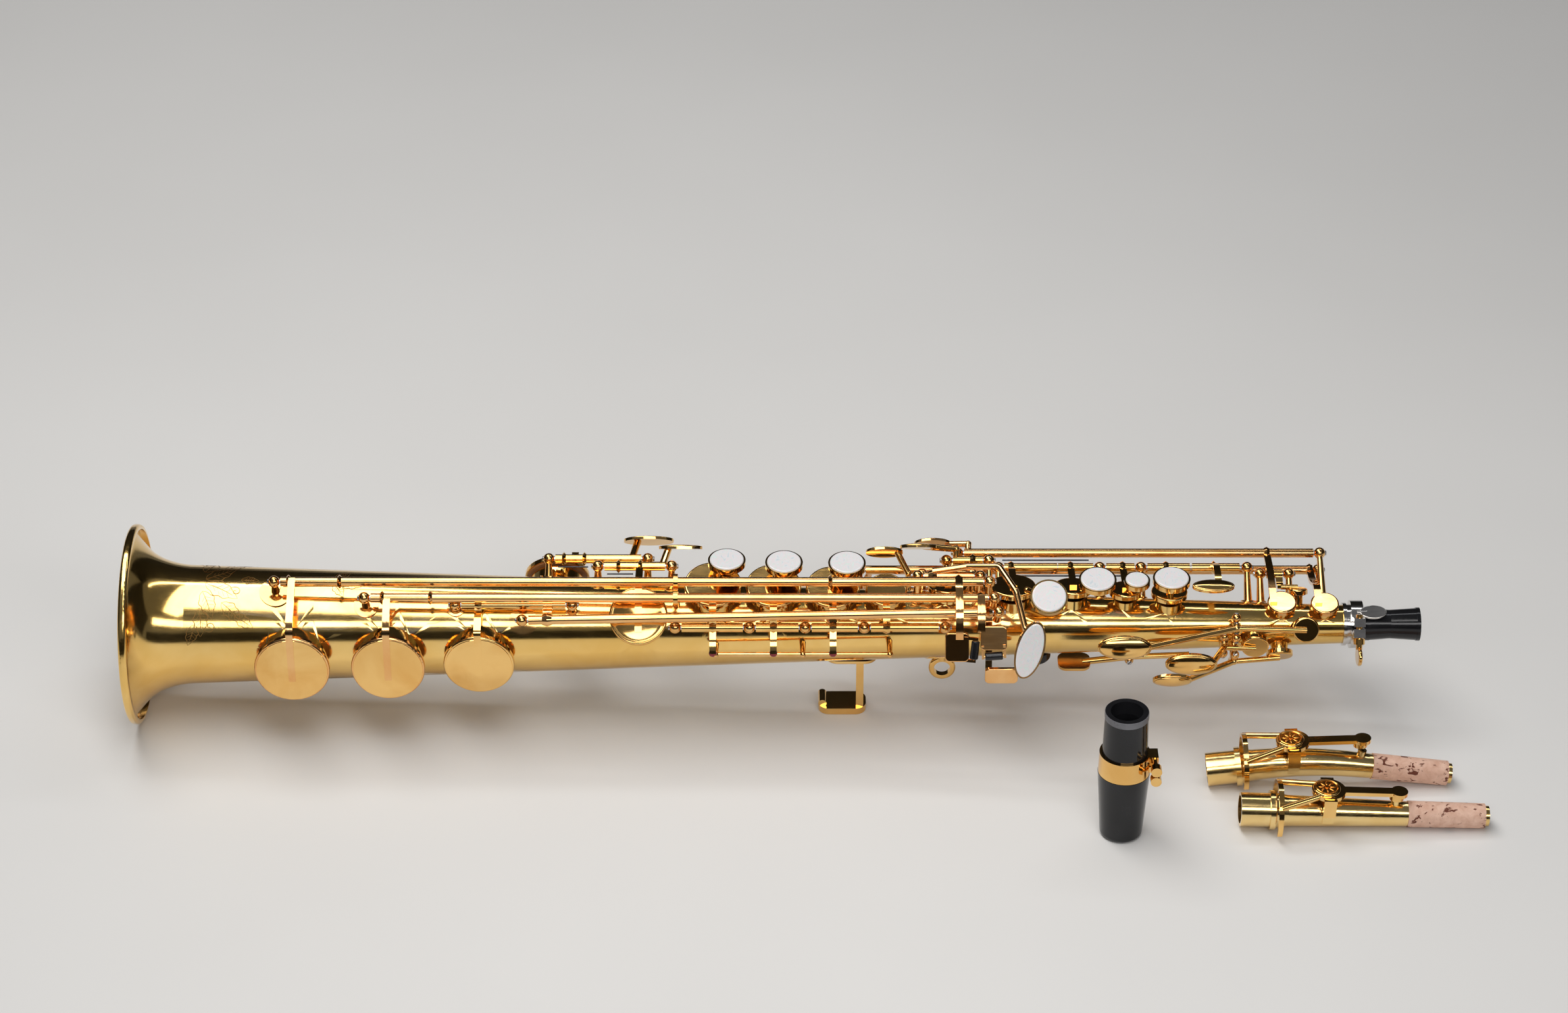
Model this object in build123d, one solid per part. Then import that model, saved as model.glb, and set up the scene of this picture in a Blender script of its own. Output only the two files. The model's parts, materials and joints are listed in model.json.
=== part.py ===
"""B flat soprano saxophone with end plug, two detachable necks and a mouthpiece.

Millimetres.  While it is modelled, X runs along the bore from the bell's mouth
(x = 0) to the neck socket, the bore's axis is y = z = 0, and +Z is the side that
the pearl touches face.  An angle round the body starts at +Z and turns towards
-Y, the left-hand side, where the palm keys are.  At the end everything is moved
so that the origin is the centre of the base that the set rests on.
"""
from build123d import *
from math import asin, atan2, cos, degrees, hypot, pi, radians, sin
import os

os.makedirs("parts", exist_ok=True)

# ---- driving dimensions ----------------------------------------------------
BODY_LENGTH = 564.0          # bell mouth to the end of the neck socket
BORE_APEX = 809.0            # where the cone of the body would come to a point
CONE_SLOPE = 0.0349          # outer radius gained per millimetre along the cone
WALL = 0.7
BELL_RADIUS = 46.0
FLARE_LENGTH = 27.0
SOCKET_START = 555.0
SOCKET_RADIUS = 9.2
SOCKET_BORE = 7.6
FLOOR = -BELL_RADIUS         # the bell's rim and the thumb hook stand on it

ROD_RADIUS = 1.1             # steel pivot rod
RUNNING_CLEARANCE = 0.05     # radial, between a pivot rod and its hinge tube
TUBE_RADIUS = 2.1            # hinge tube, outside
COLLAR_RADIUS = 3.2
BALL_RADIUS = 2.7
END_PLAY = 0.3
ARM_WIDTH = 3.2
ARM_THICKNESS = 1.6

PAD_THICKNESS = 2.4
PAD_PROUD = 0.5              # how far a pad stands out of its cup
SEAT_GAP = 0.12              # pad to tone-hole rim when a key is closed
CUP_THICKNESS = 2.6
CUP_WALL = 0.8
PEARL_THICKNESS = 1.7

LOW_ROD = (-12.3, 31.8)      # y, z of the long pivot lines along the front
MIDDLE_ROD = (-19.9, 28.1)


# ---- small tools -----------------------------------------------------------
def outer_radius(x):
    """Outside radius of the conical body at x."""
    return CONE_SLOPE * (BORE_APEX - x)


def spot(x, angle, radius):
    """A point at an angle round the body."""
    turn = radians(angle)
    return Vector(x, -radius * sin(turn), radius * cos(turn))


def seat(x, angle, radius, twist=0):
    """A plane that faces straight out of the body; its x is along the body unless twisted."""
    turn = radians(angle)
    swing = radians(twist)
    x_dir = (cos(swing), sin(swing) * cos(turn), sin(swing) * sin(turn))
    return Plane(origin=spot(x, angle, radius), x_dir=x_dir, z_dir=(0, -sin(turn), cos(turn)))


def bar(start, end, radius, end_radius=None):
    """A round bar, tapered if it has a second radius."""
    start = Vector(*start)
    run = Vector(*end) - start
    plane = Plane(origin=start, z_dir=run)
    low = (Align.CENTER, Align.CENTER, Align.MIN)
    if end_radius is None:
        return plane * Cylinder(radius, run.length, align=low)
    return plane * Cone(radius, end_radius, run.length, align=low)


def ball(centre, radius=BALL_RADIUS):
    return Pos(*centre) * Sphere(radius)


def bent_rod(points, radius, bend):
    """A round rod along straight runs joined by arcs."""
    path = FilletPolyline(*points, radius=bend)
    ring = Plane(origin=path @ 0, z_dir=path % 0) * Circle(radius)
    return sweep(ring, path=path)


def disc(plane, radius, thickness, rounding=0.0, low=0.0):
    """A round plate that stands on a plane, with its outer edge rounded."""
    plate = Pos(0, 0, low) * Cylinder(radius, thickness, align=(Align.CENTER, Align.CENTER, Align.MIN))
    if rounding:
        plate = fillet(plate.edges().sort_by(Axis.Z)[-1], rounding)
    return plane * plate


def plate(plane, outline, thickness, rounding=0.0):
    """A flat touch plate with a given outline and a rounded upper edge."""
    slab = extrude(outline, thickness)
    if rounding:
        slab = fillet(slab.faces().sort_by(Axis.Z)[-1].edges(), rounding)
    return plane * slab


def strap(x, points, width=ARM_WIDTH, thickness=ARM_THICKNESS, ahead=None):
    """A strap across the body at x; its middle line runs through points of that plane.

    If a direction ahead is given, the strap sets out that way.
    """
    inner = []
    outer = []
    for index, point in enumerate(points):
        run = points[min(index + 1, len(points) - 1)] - points[max(index - 1, 0)]
        if index == 0 and ahead is not None:
            run = ahead
        half = Vector(0, -run.Z, run.Y).normalized() * (thickness / 2)
        inner.append(point - half)
        outer.append(point + half)
    tangents = () if ahead is None else (ahead, points[-1] - points[-2])
    backwards = [tangent * -1 for tangent in reversed(tangents)]
    edges = [
        Spline(*inner, tangents=tangents),
        Line(inner[-1], outer[-1]),
        Spline(*reversed(outer), tangents=backwards),
        Line(outer[0], inner[0]),
    ]
    section = make_face(Wire(edges))
    return Pos(x, 0, 0) * extrude(section, amount=width / 2, dir=(1, 0, 0), both=True)


def band(x, start, end, bulge=0.0, width=ARM_WIDTH, thickness=ARM_THICKNESS):
    """A strap across the body that bends evenly from one (angle, radius) to another."""
    stations = 5
    points = []
    for step in range(stations):
        share = step / (stations - 1)
        angle = start[0] + share * (end[0] - start[0])
        radius = start[1] + share * (end[1] - start[1]) + bulge * sin(pi * share)
        points.append(spot(0, angle, radius))
    return strap(x, points, width, thickness)


def fuse(shapes):
    """All shapes joined in one."""
    return Part() + shapes


def spun(profile):
    """A solid of revolution about X from (x, radius) points."""
    start, end = profile[0][0], profile[-1][0]
    outline = Polyline((start, 0), *profile, (end, 0), close=True)
    return revolve(make_face(outline), Axis.X)


class Hinge:
    """A pivot line between two posts."""

    def __init__(self, start, end):
        self.start = Vector(*start)
        self.end = Vector(*end)
        self.direction = (self.end - self.start).normalized()

    @classmethod
    def along(cls, x_start, x_end, y, z):
        return cls((x_start, y, z), (x_end, y, z))

    @classmethod
    def at(cls, x_start, x_end, angle, radius):
        point = spot(0, angle, radius)
        return cls((x_start, point.Y, point.Z), (x_end, point.Y, point.Z))

    def point(self, x):
        """The point of the line at x."""
        share = (x - self.start.X) / (self.end.X - self.start.X)
        return self.start + (self.end - self.start) * share

    def polar(self, x):
        """Angle and radius of the line at x."""
        point = self.point(x)
        return degrees(atan2(-point.Y, point.Z)), hypot(point.Y, point.Z)

    def rod(self):
        reach = self.direction * (0.6 * BALL_RADIUS)
        return bar(self.start - reach, self.end + reach, ROD_RADIUS)

    def bore(self):
        reach = self.direction * 1.0
        return bar(self.start - reach, self.end + reach, ROD_RADIUS + RUNNING_CLEARANCE)

    def tube(self, x_start=None, x_end=None):
        """The hinge tube; it fills the whole line unless it is one of several on it."""
        inset = self.direction * (BALL_RADIUS + END_PLAY)
        first = self.start + inset if x_start is None else self.point(x_start)
        last = self.end - inset if x_end is None else self.point(x_end)
        return bar(first, last, TUBE_RADIUS)

    def collar(self, x, radius=COLLAR_RADIUS, width=1.8):
        """A ring round the hinge tube, with a ridge in its middle."""
        half = self.direction * (width / 2)
        centre = self.point(x)
        rise = bar(centre - half, centre, TUBE_RADIUS + 0.2, radius)
        fall = bar(centre + half, centre, TUBE_RADIUS + 0.2, radius)
        return rise + fall


# ---- tone holes: name, x, angle, hole radius, chimney height -----------------
TONE_HOLES = {
    "low_bb": (76.4, 95, 14.2, 3.6),
    "low_b": (119.7, 95, 13.8, 3.6),
    "low_csharp": (160.6, 95, 13.2, 3.6),
    "low_c": (194.0, -75, 12.0, 3.2),
    "eb": (233.0, 47, 10.4, 2.6),
    "d": (266.7, 10, 10.2, 2.8),
    "e": (294.2, 10, 9.8, 2.8),
    "f": (321.2, 10, 9.4, 2.8),
    "f_sharp": (345.5, 12, 6.6, 2.4),
    "g_sharp": (374.0, -8, 6.4, 2.4),
    "g": (403.6, 0, 7.6, 2.4),
    "a": (431.0, -4, 6.0, 2.4),
    "bis": (455.0, 0, 4.6, 2.4),
    "b": (475.0, 2, 5.4, 2.4),
    "side_bb": (386.0, -78, 5.0, 2.4),
    "side_c": (417.0, -118, 4.8, 2.4),
    "palm_eb": (514.0, 98, 3.4, 2.4),
    "palm_f": (526.0, 130, 3.2, 2.4),
    "side_e": (526.4, 14, 3.8, 2.6),
    "octave": (534.5, -24, 1.6, 4.0),
    "palm_d": (537.0, 66, 3.2, 2.4),
    "high_fs": (546.0, 14, 3.6, 2.6),
}
RIM_WALL = 0.8
CUP_MARGIN = 2.9             # cup radius beyond the tone hole's own radius


def rim_radius(name):
    """Distance from the bore's axis to a tone hole's rim."""
    x, _, _, height = TONE_HOLES[name]
    return outer_radius(x) + height


def key_cup(name):
    """The closed cup of a key; its underside is recessed for the pad."""
    x, angle, hole, _ = TONE_HOLES[name]
    radius = hole + CUP_MARGIN
    plane = seat(x, angle, rim_radius(name) + SEAT_GAP)
    cup = disc(plane, radius, CUP_THICKNESS, 0.9, PAD_PROUD)
    recess = disc(plane, radius - CUP_WALL, PAD_THICKNESS, low=0.0)
    return cup - recess


def key_pad(name):
    """The leather pad in a cup."""
    x, angle, hole, _ = TONE_HOLES[name]
    plane = seat(x, angle, rim_radius(name) + SEAT_GAP)
    return disc(plane, hole + CUP_MARGIN - CUP_WALL, PAD_THICKNESS)


def cup_top(name):
    """Radius at which an arm lies on the cup."""
    return rim_radius(name) + SEAT_GAP + PAD_PROUD + CUP_THICKNESS + ARM_THICKNESS / 2 - 0.3


def cup_arm(name, hinge, x=None, bulge=1.0, start_lift=0.0, overrun=0.4):
    """The strap from a hinge tube that lies flat over the middle of a cup."""
    hole_x, angle, hole, _ = TONE_HOLES[name]
    x = hole_x if x is None else x
    top = seat(0, angle, cup_top(name))
    hinge_angle, hinge_radius = hinge.polar(x)
    start = spot(0, hinge_angle, hinge_radius + start_lift)
    side = 1 if hinge_angle < angle else -1
    edge = side * (hole + CUP_MARGIN)
    knee = top.origin + top.y_dir * edge
    middle = (start + knee) * 0.5
    middle = middle + Vector(0, middle.Y, middle.Z).normalized() * bulge
    far = top.origin - top.y_dir * (side * overrun * hole)
    across = knee + top.y_dir * (side * 0.3)
    return strap(x, [far, across]) + strap(x, [knee, middle, start], ahead=top.y_dir * side)


def pearl_holder(plane, radius, depth=2.4):
    """The brass cup that carries a pearl, open at the top."""
    bowl = disc(plane, radius + 0.8, depth, 0.0, -depth)
    recess = disc(plane, radius, 1.0, low=-1.0)
    return bowl - recess


def pearl(plane, radius):
    """A mother-of-pearl disc with an eased edge."""
    return disc(plane, radius, PEARL_THICKNESS, 0.7, -1.0)


def turned(shape, hinge, angle):
    """A shape swung about a hinge."""
    return shape.rotate(Axis(hinge.start, hinge.direction), angle) if angle else shape


# ---- pivot lines -------------------------------------------------------------
LOW_BB = Hinge.along(68.2, 392.1, *LOW_ROD)
LOW_B = Hinge.along(109.4, 394.0, *MIDDLE_ROD)
CSHARP = Hinge.at(150.0, 203.0, 37, 27.5)
CSHARP_LEVER = Hinge((180.6, -25.4, 19.6), (396.0, -24.3, 23.4))
LOW_C = Hinge.at(190.9, 236.4, -38, 30.0)
EB = Hinge.at(213.9, 247.6, -18, 27.6)
RIGHT_STACK = Hinge.at(249.6, 372.0, 59, 25.0)
GSHARP_LEVER = Hinge.at(359.8, 388.2, 6, 28.7)
GSHARP = Hinge.at(362.5, 385.5, -40, 23.0)
LEFT_STACK = Hinge.at(397.8, 512.4, -50, 27.0)
SIDE_BB = Hinge.at(373.9, 393.5, -50, 30.4)
SIDE_C = Hinge.at(352.0, 425.0, -92, 28.0)
SIDE_E = Hinge.at(379.4, 547.0, -60, 36.4)
HIGH_FS = Hinge.at(334.0, 547.0, -75, 33.0)
OCTAVE = Hinge.at(518.2, 531.5, -50, 24.0)
STACK_POSTS = (283.3, 308.6, 335.4)          # further posts of the right-hand stack
LEFT_STACK_POSTS = (444.5, 463.5)
ROD_GUIDE_X = 250.0

# name: x and angle of a short pivot line that is square to the body
PALM_PIVOTS = {
    "palm_d": (505.0, 62), "palm_eb": (499.5, 92), "palm_f": (505.0, 130), "octave": (458.0, 184),
}
PALM_PIVOT_RISE = 5.2        # pivot line above the body
PALM_PIVOT_HALF = 4.6        # half of its length between the two posts


def palm_hinge(name):
    """A short pivot line square to the body."""
    x, angle = PALM_PIVOTS[name]
    middle = spot(x, angle, outer_radius(x) + PALM_PIVOT_RISE)
    turn = radians(angle)
    across = Vector(0, cos(turn), sin(turn)) * PALM_PIVOT_HALF
    return Hinge(middle - across, middle + across)


PALM_D = palm_hinge("palm_d")
PALM_EB = palm_hinge("palm_eb")
PALM_F = palm_hinge("palm_f")
OCTAVE_LEVER = palm_hinge("octave")
PARALLEL_LINES = [
    LOW_BB, LOW_B, CSHARP, CSHARP_LEVER, LOW_C, EB, RIGHT_STACK, GSHARP_LEVER, GSHARP,
    LEFT_STACK, SIDE_BB, SIDE_C, SIDE_E, HIGH_FS, OCTAVE,
]
PALM_LINES = [PALM_D, PALM_EB, PALM_F, OCTAVE_LEVER]

# Angle by which a key that stands open is swung away from its tone hole.
OPEN = {
    "low_bb": -4.4, "low_b": -5.0, "low_c": 7.5, "d": 6.0, "e": 6.0, "f": 6.0, "f_sharp": 6.0,
    "g": -5.0, "a": -5.0, "bis": -5.0, "b": -5.0,
}


# ---- body --------------------------------------------------------------------
def cone_between(x_start, x_end, extra):
    """The cone of the body, thicker or thinner by extra, as a solid of revolution."""
    return bar(
        (x_start, 0, 0), (x_end, 0, 0), outer_radius(x_start) + extra, outer_radius(x_end) + extra
    )


def body_tube():
    """Conical tube with a drawn chimney at each tone hole."""
    tube = cone_between(FLARE_LENGTH, SOCKET_START, 0)
    chimneys = []
    holes = []
    for name, (x, angle, hole, _) in TONE_HOLES.items():
        root = spot(x, angle, 0.45 * outer_radius(x))
        top = spot(x, angle, rim_radius(name))
        chimneys.append(bar(root, top, hole + RIM_WALL))
        holes.append(bar(root, spot(x, angle, rim_radius(name) + 1), hole))
    tube = tube.fuse(*chimneys)
    bore = cone_between(FLARE_LENGTH - 1, SOCKET_START + 1, -WALL)
    return tube.cut(bore, *holes)


def bell_flare():
    """The bell, spun from the cone's large end out to the rim."""
    throat = outer_radius(FLARE_LENGTH)
    profile = [
        (FLARE_LENGTH, throat), (17.0, throat + 2.0), (9.0, throat + 6.2),
        (4.0, throat + 11.6), (1.6, BELL_RADIUS - 2.0),
    ]
    outside = [Vector(x, radius, 0) for x, radius in profile]
    inside = [Vector(x - 0.5 * WALL * share, radius - WALL * (1 - 0.45 * share), 0)
              for (x, radius), share in zip(profile, (0, 0.4, 0.8, 1.2, 1.6))]
    edges = [
        Spline(*outside, tangents=[(-1, 0.07), (-0.25, 1)]),
        Line(outside[-1], inside[-1]),
        Spline(*reversed(inside), tangents=[(0.25, -1), (1, -0.07)]),
        Line(inside[0], outside[0]),
    ]
    return revolve(make_face(Wire(edges)), Axis.X)


def bell_rim():
    """The turned ring that stiffens the bell's edge."""
    ring = Pos(2.0, 0, 0) * (Rot(0, 90, 0) * Cylinder(BELL_RADIUS, 4.0))
    ring = fillet(ring.edges().filter_by(GeomType.CIRCLE), 1.5)
    opening = bar((-1, 0, 0), (5, 0, 0), BELL_RADIUS - 2.3)
    return ring - opening - bell_flare()


CLAMP_ANGLE = 62
SCREW_RADIUS = 1.5
SCREW_RISE = 5.0             # clamp screw's line above the socket's outside


def neck_receiver():
    """Nickel-silver socket with a split clamp and its screw lugs."""
    sleeve = bar((SOCKET_START, 0, 0), (BODY_LENGTH, 0, 0), SOCKET_RADIUS)
    bead = bar((SOCKET_START, 0, 0), (SOCKET_START + 1.6, 0, 0), SOCKET_RADIUS + 0.7)
    clamp = bar((BODY_LENGTH - 5.6, 0, 0), (BODY_LENGTH, 0, 0), SOCKET_RADIUS + 1.8)
    lugs = seat(BODY_LENGTH - 2.8, CLAMP_ANGLE, SOCKET_RADIUS + 3.6) * Box(5.2, 9.0, 7.2)
    tag_plane = seat(BODY_LENGTH + 4.2, 25, SOCKET_RADIUS + 1.0)
    tag = plate(tag_plane, Ellipse(6.2, 3.4), 1.1, 0.3)
    tag_foot = bar(spot(BODY_LENGTH - 3.0, 25, SOCKET_RADIUS + 1.3), tag_plane.origin, 1.0)
    shape = fuse([sleeve, bead, clamp, lugs, tag, tag_foot])
    bore = bar((SOCKET_START - 1, 0, 0), (BODY_LENGTH + 12, 0, 0), SOCKET_BORE)
    slit = seat(BODY_LENGTH, CLAMP_ANGLE, SOCKET_RADIUS + 3) * Box(16.0, 1.0, 10.0)
    screw_hole = bar(*screw_line(9.0), SCREW_RADIUS + RUNNING_CLEARANCE)
    return shape - bore - slit - screw_hole


def screw_line(half):
    """Two points on the clamp screw's line, which is square to the body."""
    turn = radians(CLAMP_ANGLE)
    middle = spot(BODY_LENGTH - 2.8, CLAMP_ANGLE, SOCKET_RADIUS + SCREW_RISE)
    across = Vector(0, cos(turn), sin(turn)) * half
    return middle - across, middle + across


def receiver_screw():
    """Thumbscrew of the clamp, with an oval paddle for a head."""
    outer, inner = screw_line(6.0)
    direction = (outer - inner).normalized()
    shank = bar(inner, outer, SCREW_RADIUS)
    collar = bar(outer - direction * 1.0, outer + direction * 1.6, 2.6)
    start = outer + direction * 1.6
    stalk = bar(start, start + direction * 2.4, 1.5)
    centre = start + direction * 5.6
    head_plane = Plane(origin=centre - Vector(0.9, 0, 0), x_dir=direction, z_dir=(1, 0, 0))
    head = extrude(Ellipse(4.4, 6.6), 1.8)
    head = fillet(head.edges(), 0.7)
    return fuse([shank, collar, stalk, head_plane * head])


def end_plug():
    """Cap that protects the socket when no neck is fitted."""
    stem = bar((BODY_LENGTH - 7.6, 0, 0), (BODY_LENGTH + 0.3, 0, 0), SOCKET_BORE - 0.08)
    flange = bar((BODY_LENGTH + 0.2, 0, 0), (BODY_LENGTH + 3.4, 0, 0), SOCKET_BORE - 0.08)
    waist = bar((BODY_LENGTH + 3.2, 0, 0), (BODY_LENGTH + 13, 0, 0), SOCKET_BORE - 0.2, 6.6)
    grip = bar((BODY_LENGTH + 12.9, 0, 0), (BODY_LENGTH + 25, 0, 0), 6.6, 7.4)
    rim = bar((BODY_LENGTH + 24.9, 0, 0), (BODY_LENGTH + 26.5, 0, 0), 7.7)
    return fuse([stem, flange, waist, grip, rim])


# ---- posts, rods and springs ---------------------------------------------------
POST_FEET = {LOW_BB: 7.4, LOW_B: 5.6, CSHARP_LEVER: 6.5, SIDE_BB: 2.6, SIDE_E: 2.6, GSHARP: 2.6, OCTAVE: 2.6}
FOOT_THICKNESS = 0.6
FOOT_GAP = 0.1               # filled with solder between a post's foot and the body
# x and angle of the feet of two posts that lean, clear of the cups beside them
LEANING_FEET = {SIDE_E: (371.5, -66), SIDE_BB: (373.9, -60)}


def post(point, flange=5.0, stem=1.5, foot=None):
    """A ball post; its foot is curved to the body."""
    x, angle = foot or (point.X, degrees(atan2(-point.Y, point.Z)))
    skin = outer_radius(x)
    column = bar(spot(x, angle, skin), point, stem + 0.5, stem - 0.2)
    pad = bar(spot(x, angle, 0.6 * skin), spot(x, angle, skin + 1.2), flange)
    foot = pad & cone_between(x - 8, x + 8, FOOT_THICKNESS)
    return column + ball(point) + foot - cone_between(x - 9, x + 9, FOOT_GAP)


def key_posts():
    """Every post, the long rods' guide and the stop rail of the right-hand stack."""
    posts = []
    for line in PARALLEL_LINES:
        posts.append(post(line.start, POST_FEET.get(line, 4.0), foot=LEANING_FEET.get(line)))
        posts.append(post(line.end, POST_FEET.get(line, 3.4)))
    for x in STACK_POSTS:
        posts.append(post(RIGHT_STACK.point(x), 3.2))
    for x in LEFT_STACK_POSTS:
        posts.append(post(LEFT_STACK.point(x), 2.8))
    for line in PALM_LINES:
        posts.append(palm_post(line.start))
        posts.append(palm_post(line.end))
    rods = [line.rod() for line in PARALLEL_LINES + PALM_LINES]
    group = fuse(posts + [rod_guide(), stop_rail()])
    tone_holes = [bar(spot(x, angle, 0.5 * outer_radius(x)), spot(x, angle, rim_radius(name) + 0.2),
                      hole + RIM_WALL + FOOT_GAP)
                  for name, (x, angle, hole, _) in TONE_HOLES.items()]
    return group.cut(*rods, *tone_holes)


def palm_post(point):
    """A plain short post under one end of a palm key's pivot."""
    x = point.X
    angle = degrees(atan2(-point.Y, point.Z))
    column = bar(spot(x, angle, outer_radius(x) + 0.1), point, 1.5, 1.3)
    return column + ball(point, 2.1)


def rod_guide():
    """Middle post with a ring for each of the two longest hinge tubes."""
    rings = []
    for line in (LOW_BB, LOW_B):
        centre = line.point(ROD_GUIDE_X)
        width = Vector(1.0, 0, 0)
        ring = bar(centre - width, centre + width, TUBE_RADIUS + 1.5)
        rings.append(ring - bar(centre - width * 2, centre + width * 2, TUBE_RADIUS + 0.3))
    between = (LOW_BB.point(ROD_GUIDE_X) + LOW_B.point(ROD_GUIDE_X)) * 0.5
    angle = degrees(atan2(-between.Y, between.Z))
    foot = spot(ROD_GUIDE_X, angle, outer_radius(ROD_GUIDE_X) + 0.05)
    top = spot(ROD_GUIDE_X, angle, 31.0)
    column = bar(foot, top, 1.7, 1.2)
    for line in (LOW_BB, LOW_B):
        centre = line.point(ROD_GUIDE_X)
        width = Vector(3.0, 0, 0)
        column = column - bar(centre - width, centre + width, TUBE_RADIUS + 0.3)
    return fuse([column] + rings)


RAIL_ANGLE = 86
RAIL_RADIUS = 27.0
RAIL_ENDS = (268.0, 347.0)


def stop_rail():
    """Rail beside the right-hand stack that the keys' feet rest on."""
    rail = bar(spot(RAIL_ENDS[0], RAIL_ANGLE, RAIL_RADIUS), spot(RAIL_ENDS[1], RAIL_ANGLE, RAIL_RADIUS), 1.1)
    legs = []
    for x in (RAIL_ENDS[0], sum(RAIL_ENDS) / 2, RAIL_ENDS[1]):
        top = spot(x, RAIL_ANGLE, RAIL_RADIUS)
        legs.append(bar(spot(x, RAIL_ANGLE, outer_radius(x) + 0.1), top, 1.5, 1.2))
        legs.append(ball(top, 1.6))
    return fuse([rail] + legs)


def hinge_rods():
    """The steel pivot rods, one in each hinge line."""
    return Compound([line.rod() for line in PARALLEL_LINES + PALM_LINES])


SPRING_RADIUS = 0.35
SPRINGS = [
    (LOW_BB, 72.0, 30.0), (LOW_B, 113.0, 30.0), (CSHARP, 154.0, 22.0), (LOW_C, 195.0, 14.0),
    (EB, 218.0, 12.0), (RIGHT_STACK, 252.5, 20.0), (RIGHT_STACK, 312.0, 16.0),
    (SIDE_C, 356.0, 20.0), (SIDE_E, 400.0, 40.0), (HIGH_FS, 400.0, 60.0),
]


def needle_springs():
    """Blued needle springs that run from a post under the hinge tubes."""
    wires = []
    for line, x, length in SPRINGS:
        angle, radius = line.polar(x)
        depth = radius - TUBE_RADIUS - 1.6
        wires.append(bar(spot(x, angle, depth), spot(x + length, angle, depth), SPRING_RADIUS))
    return Compound(wires)


# ---- back of the body ----------------------------------------------------------
HOOK_X = 330.0
REST_X = 414.0
RING_X = 372.0
EYE_BORE = 3.8               # radius of the hole for the strap's hook
EYE_HEIGHT = 8.6             # its centre above the body


def thumb_hook():
    """Hook for the right thumb; it is as deep as the bell's rim is wide."""
    skin = outer_radius(HOOK_X)
    base = seat(HOOK_X, 180, skin + 0.1)
    foot = plate(base, SlotOverall(24, 12), 1.6, 0.4)
    post_box = base * (Pos(4, 0, 6.0) * Box(3.4, 11, 10.5))
    depth = BELL_RADIUS - skin - 0.1
    reach = Pos(-4.0, 0, depth - 1.6) * Box(22.0, 14.0, 3.2)
    reach = fillet(reach.edges().filter_by(Axis.Z), 5.0)
    web = Pos(4, 0, depth / 2 + 2.0) * Box(3.4, 11, depth - 5.0)
    tip = Pos(-13.2, 0, depth - 4.4) * (Rot(90, 0, 0) * Cylinder(1.9, 9.0))
    shape = fuse([foot, post_box, base * reach, base * web, base * tip])
    return shape - cone_between(HOOK_X - 20, HOOK_X + 20, 0.0)


def thumb_rest():
    """Black button for the left thumb."""
    base = seat(REST_X, 180, outer_radius(REST_X) - 0.6)
    button = disc(base, 8.0, 5.0, 1.6)
    return button - cone_between(REST_X - 12, REST_X + 12, 0.0)


def strap_ring():
    """Eye for the neck strap's hook."""
    skin = outer_radius(RING_X)
    base = seat(RING_X, 180, skin + 0.1)
    foot = plate(base, SlotOverall(20, 8), 1.4, 0.3)
    stem = disc(base, 2.2, 3.4, low=0.8)
    ring = fillet(Cylinder(EYE_BORE + 2.4, 3.0).edges(), 1.0) - Cylinder(EYE_BORE, 4.0)
    eye = Pos(0, 0, EYE_HEIGHT) * (Rot(90, 0, 0) * ring)
    return fuse([foot, stem, base * eye]) - cone_between(RING_X - 14, RING_X + 14, 0.0)


# ---- low keys ------------------------------------------------------------------
TABLE_RADIUS = 36.5
ROLLER_RADIUS = 1.9
AXLE_RADIUS = 0.7
# x, angle, turn in its own plane and length of each roller
BB_ROLLER = (384.9, 75.0, 84, 8.6)
B_ROLLER = (393.6, 79.0, 4, 8.0)


def low_bb_key():
    """Low B flat: cup, long hinge tube and its plate on the left-hand table."""
    line = LOW_BB
    arm = cup_arm("low_bb", line, bulge=2.2, start_lift=2.2)
    touch = plate(seat(376.9, 73, TABLE_RADIUS - 0.8), RectangleRounded(10.8, 13.4, 2.0), 1.6, 0.5)
    saddle = band(378.0, (line.polar(378)[0], line.polar(378)[1] + 2.6), (68, TABLE_RADIUS), 3.2, 3.4)
    parts = [line.tube(), key_cup("low_bb"), arm, touch, saddle, line.collar(74.8),
             line.collar(97.9), line.collar(378.0, 3.4, 3.4), line.collar(320.0), roller_axle(*BB_ROLLER)]
    return turned(fuse(parts) - line.bore(), line, OPEN["low_bb"])


def low_b_key():
    """Low B, on the line below low B flat's."""
    line = LOW_B
    arm = cup_arm("low_b", line, bulge=2.0, start_lift=1.0)
    touch = plate(seat(393.4, 66, TABLE_RADIUS - 0.8), RectangleRounded(12.0, 11.0, 2.0), 1.6, 0.5)
    start = line.polar(387.9)
    saddle = band(387.9, (start[0], start[1] + 2.6), (62, TABLE_RADIUS), 1.6, 3.4)
    parts = [line.tube(), key_cup("low_b"), arm, touch, saddle, line.collar(117.6),
             line.collar(139.4), line.collar(387.9, 3.4, 3.4), roller_axle(*B_ROLLER)]
    return turned(fuse(parts) - line.bore(), line, OPEN["low_b"])


def csharp_key():
    """Low C sharp: a closed key on its own short line."""
    line = CSHARP
    arm = cup_arm("low_csharp", line, bulge=2.6)
    tab = band(192.0, line.polar(192), (46, 30.8), 0.6, 4.0, 1.2)
    parts = [line.tube(), key_cup("low_csharp"), arm, line.collar(160.6, 3.2, 3.2), tab]
    return fuse(parts) - line.bore()


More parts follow.
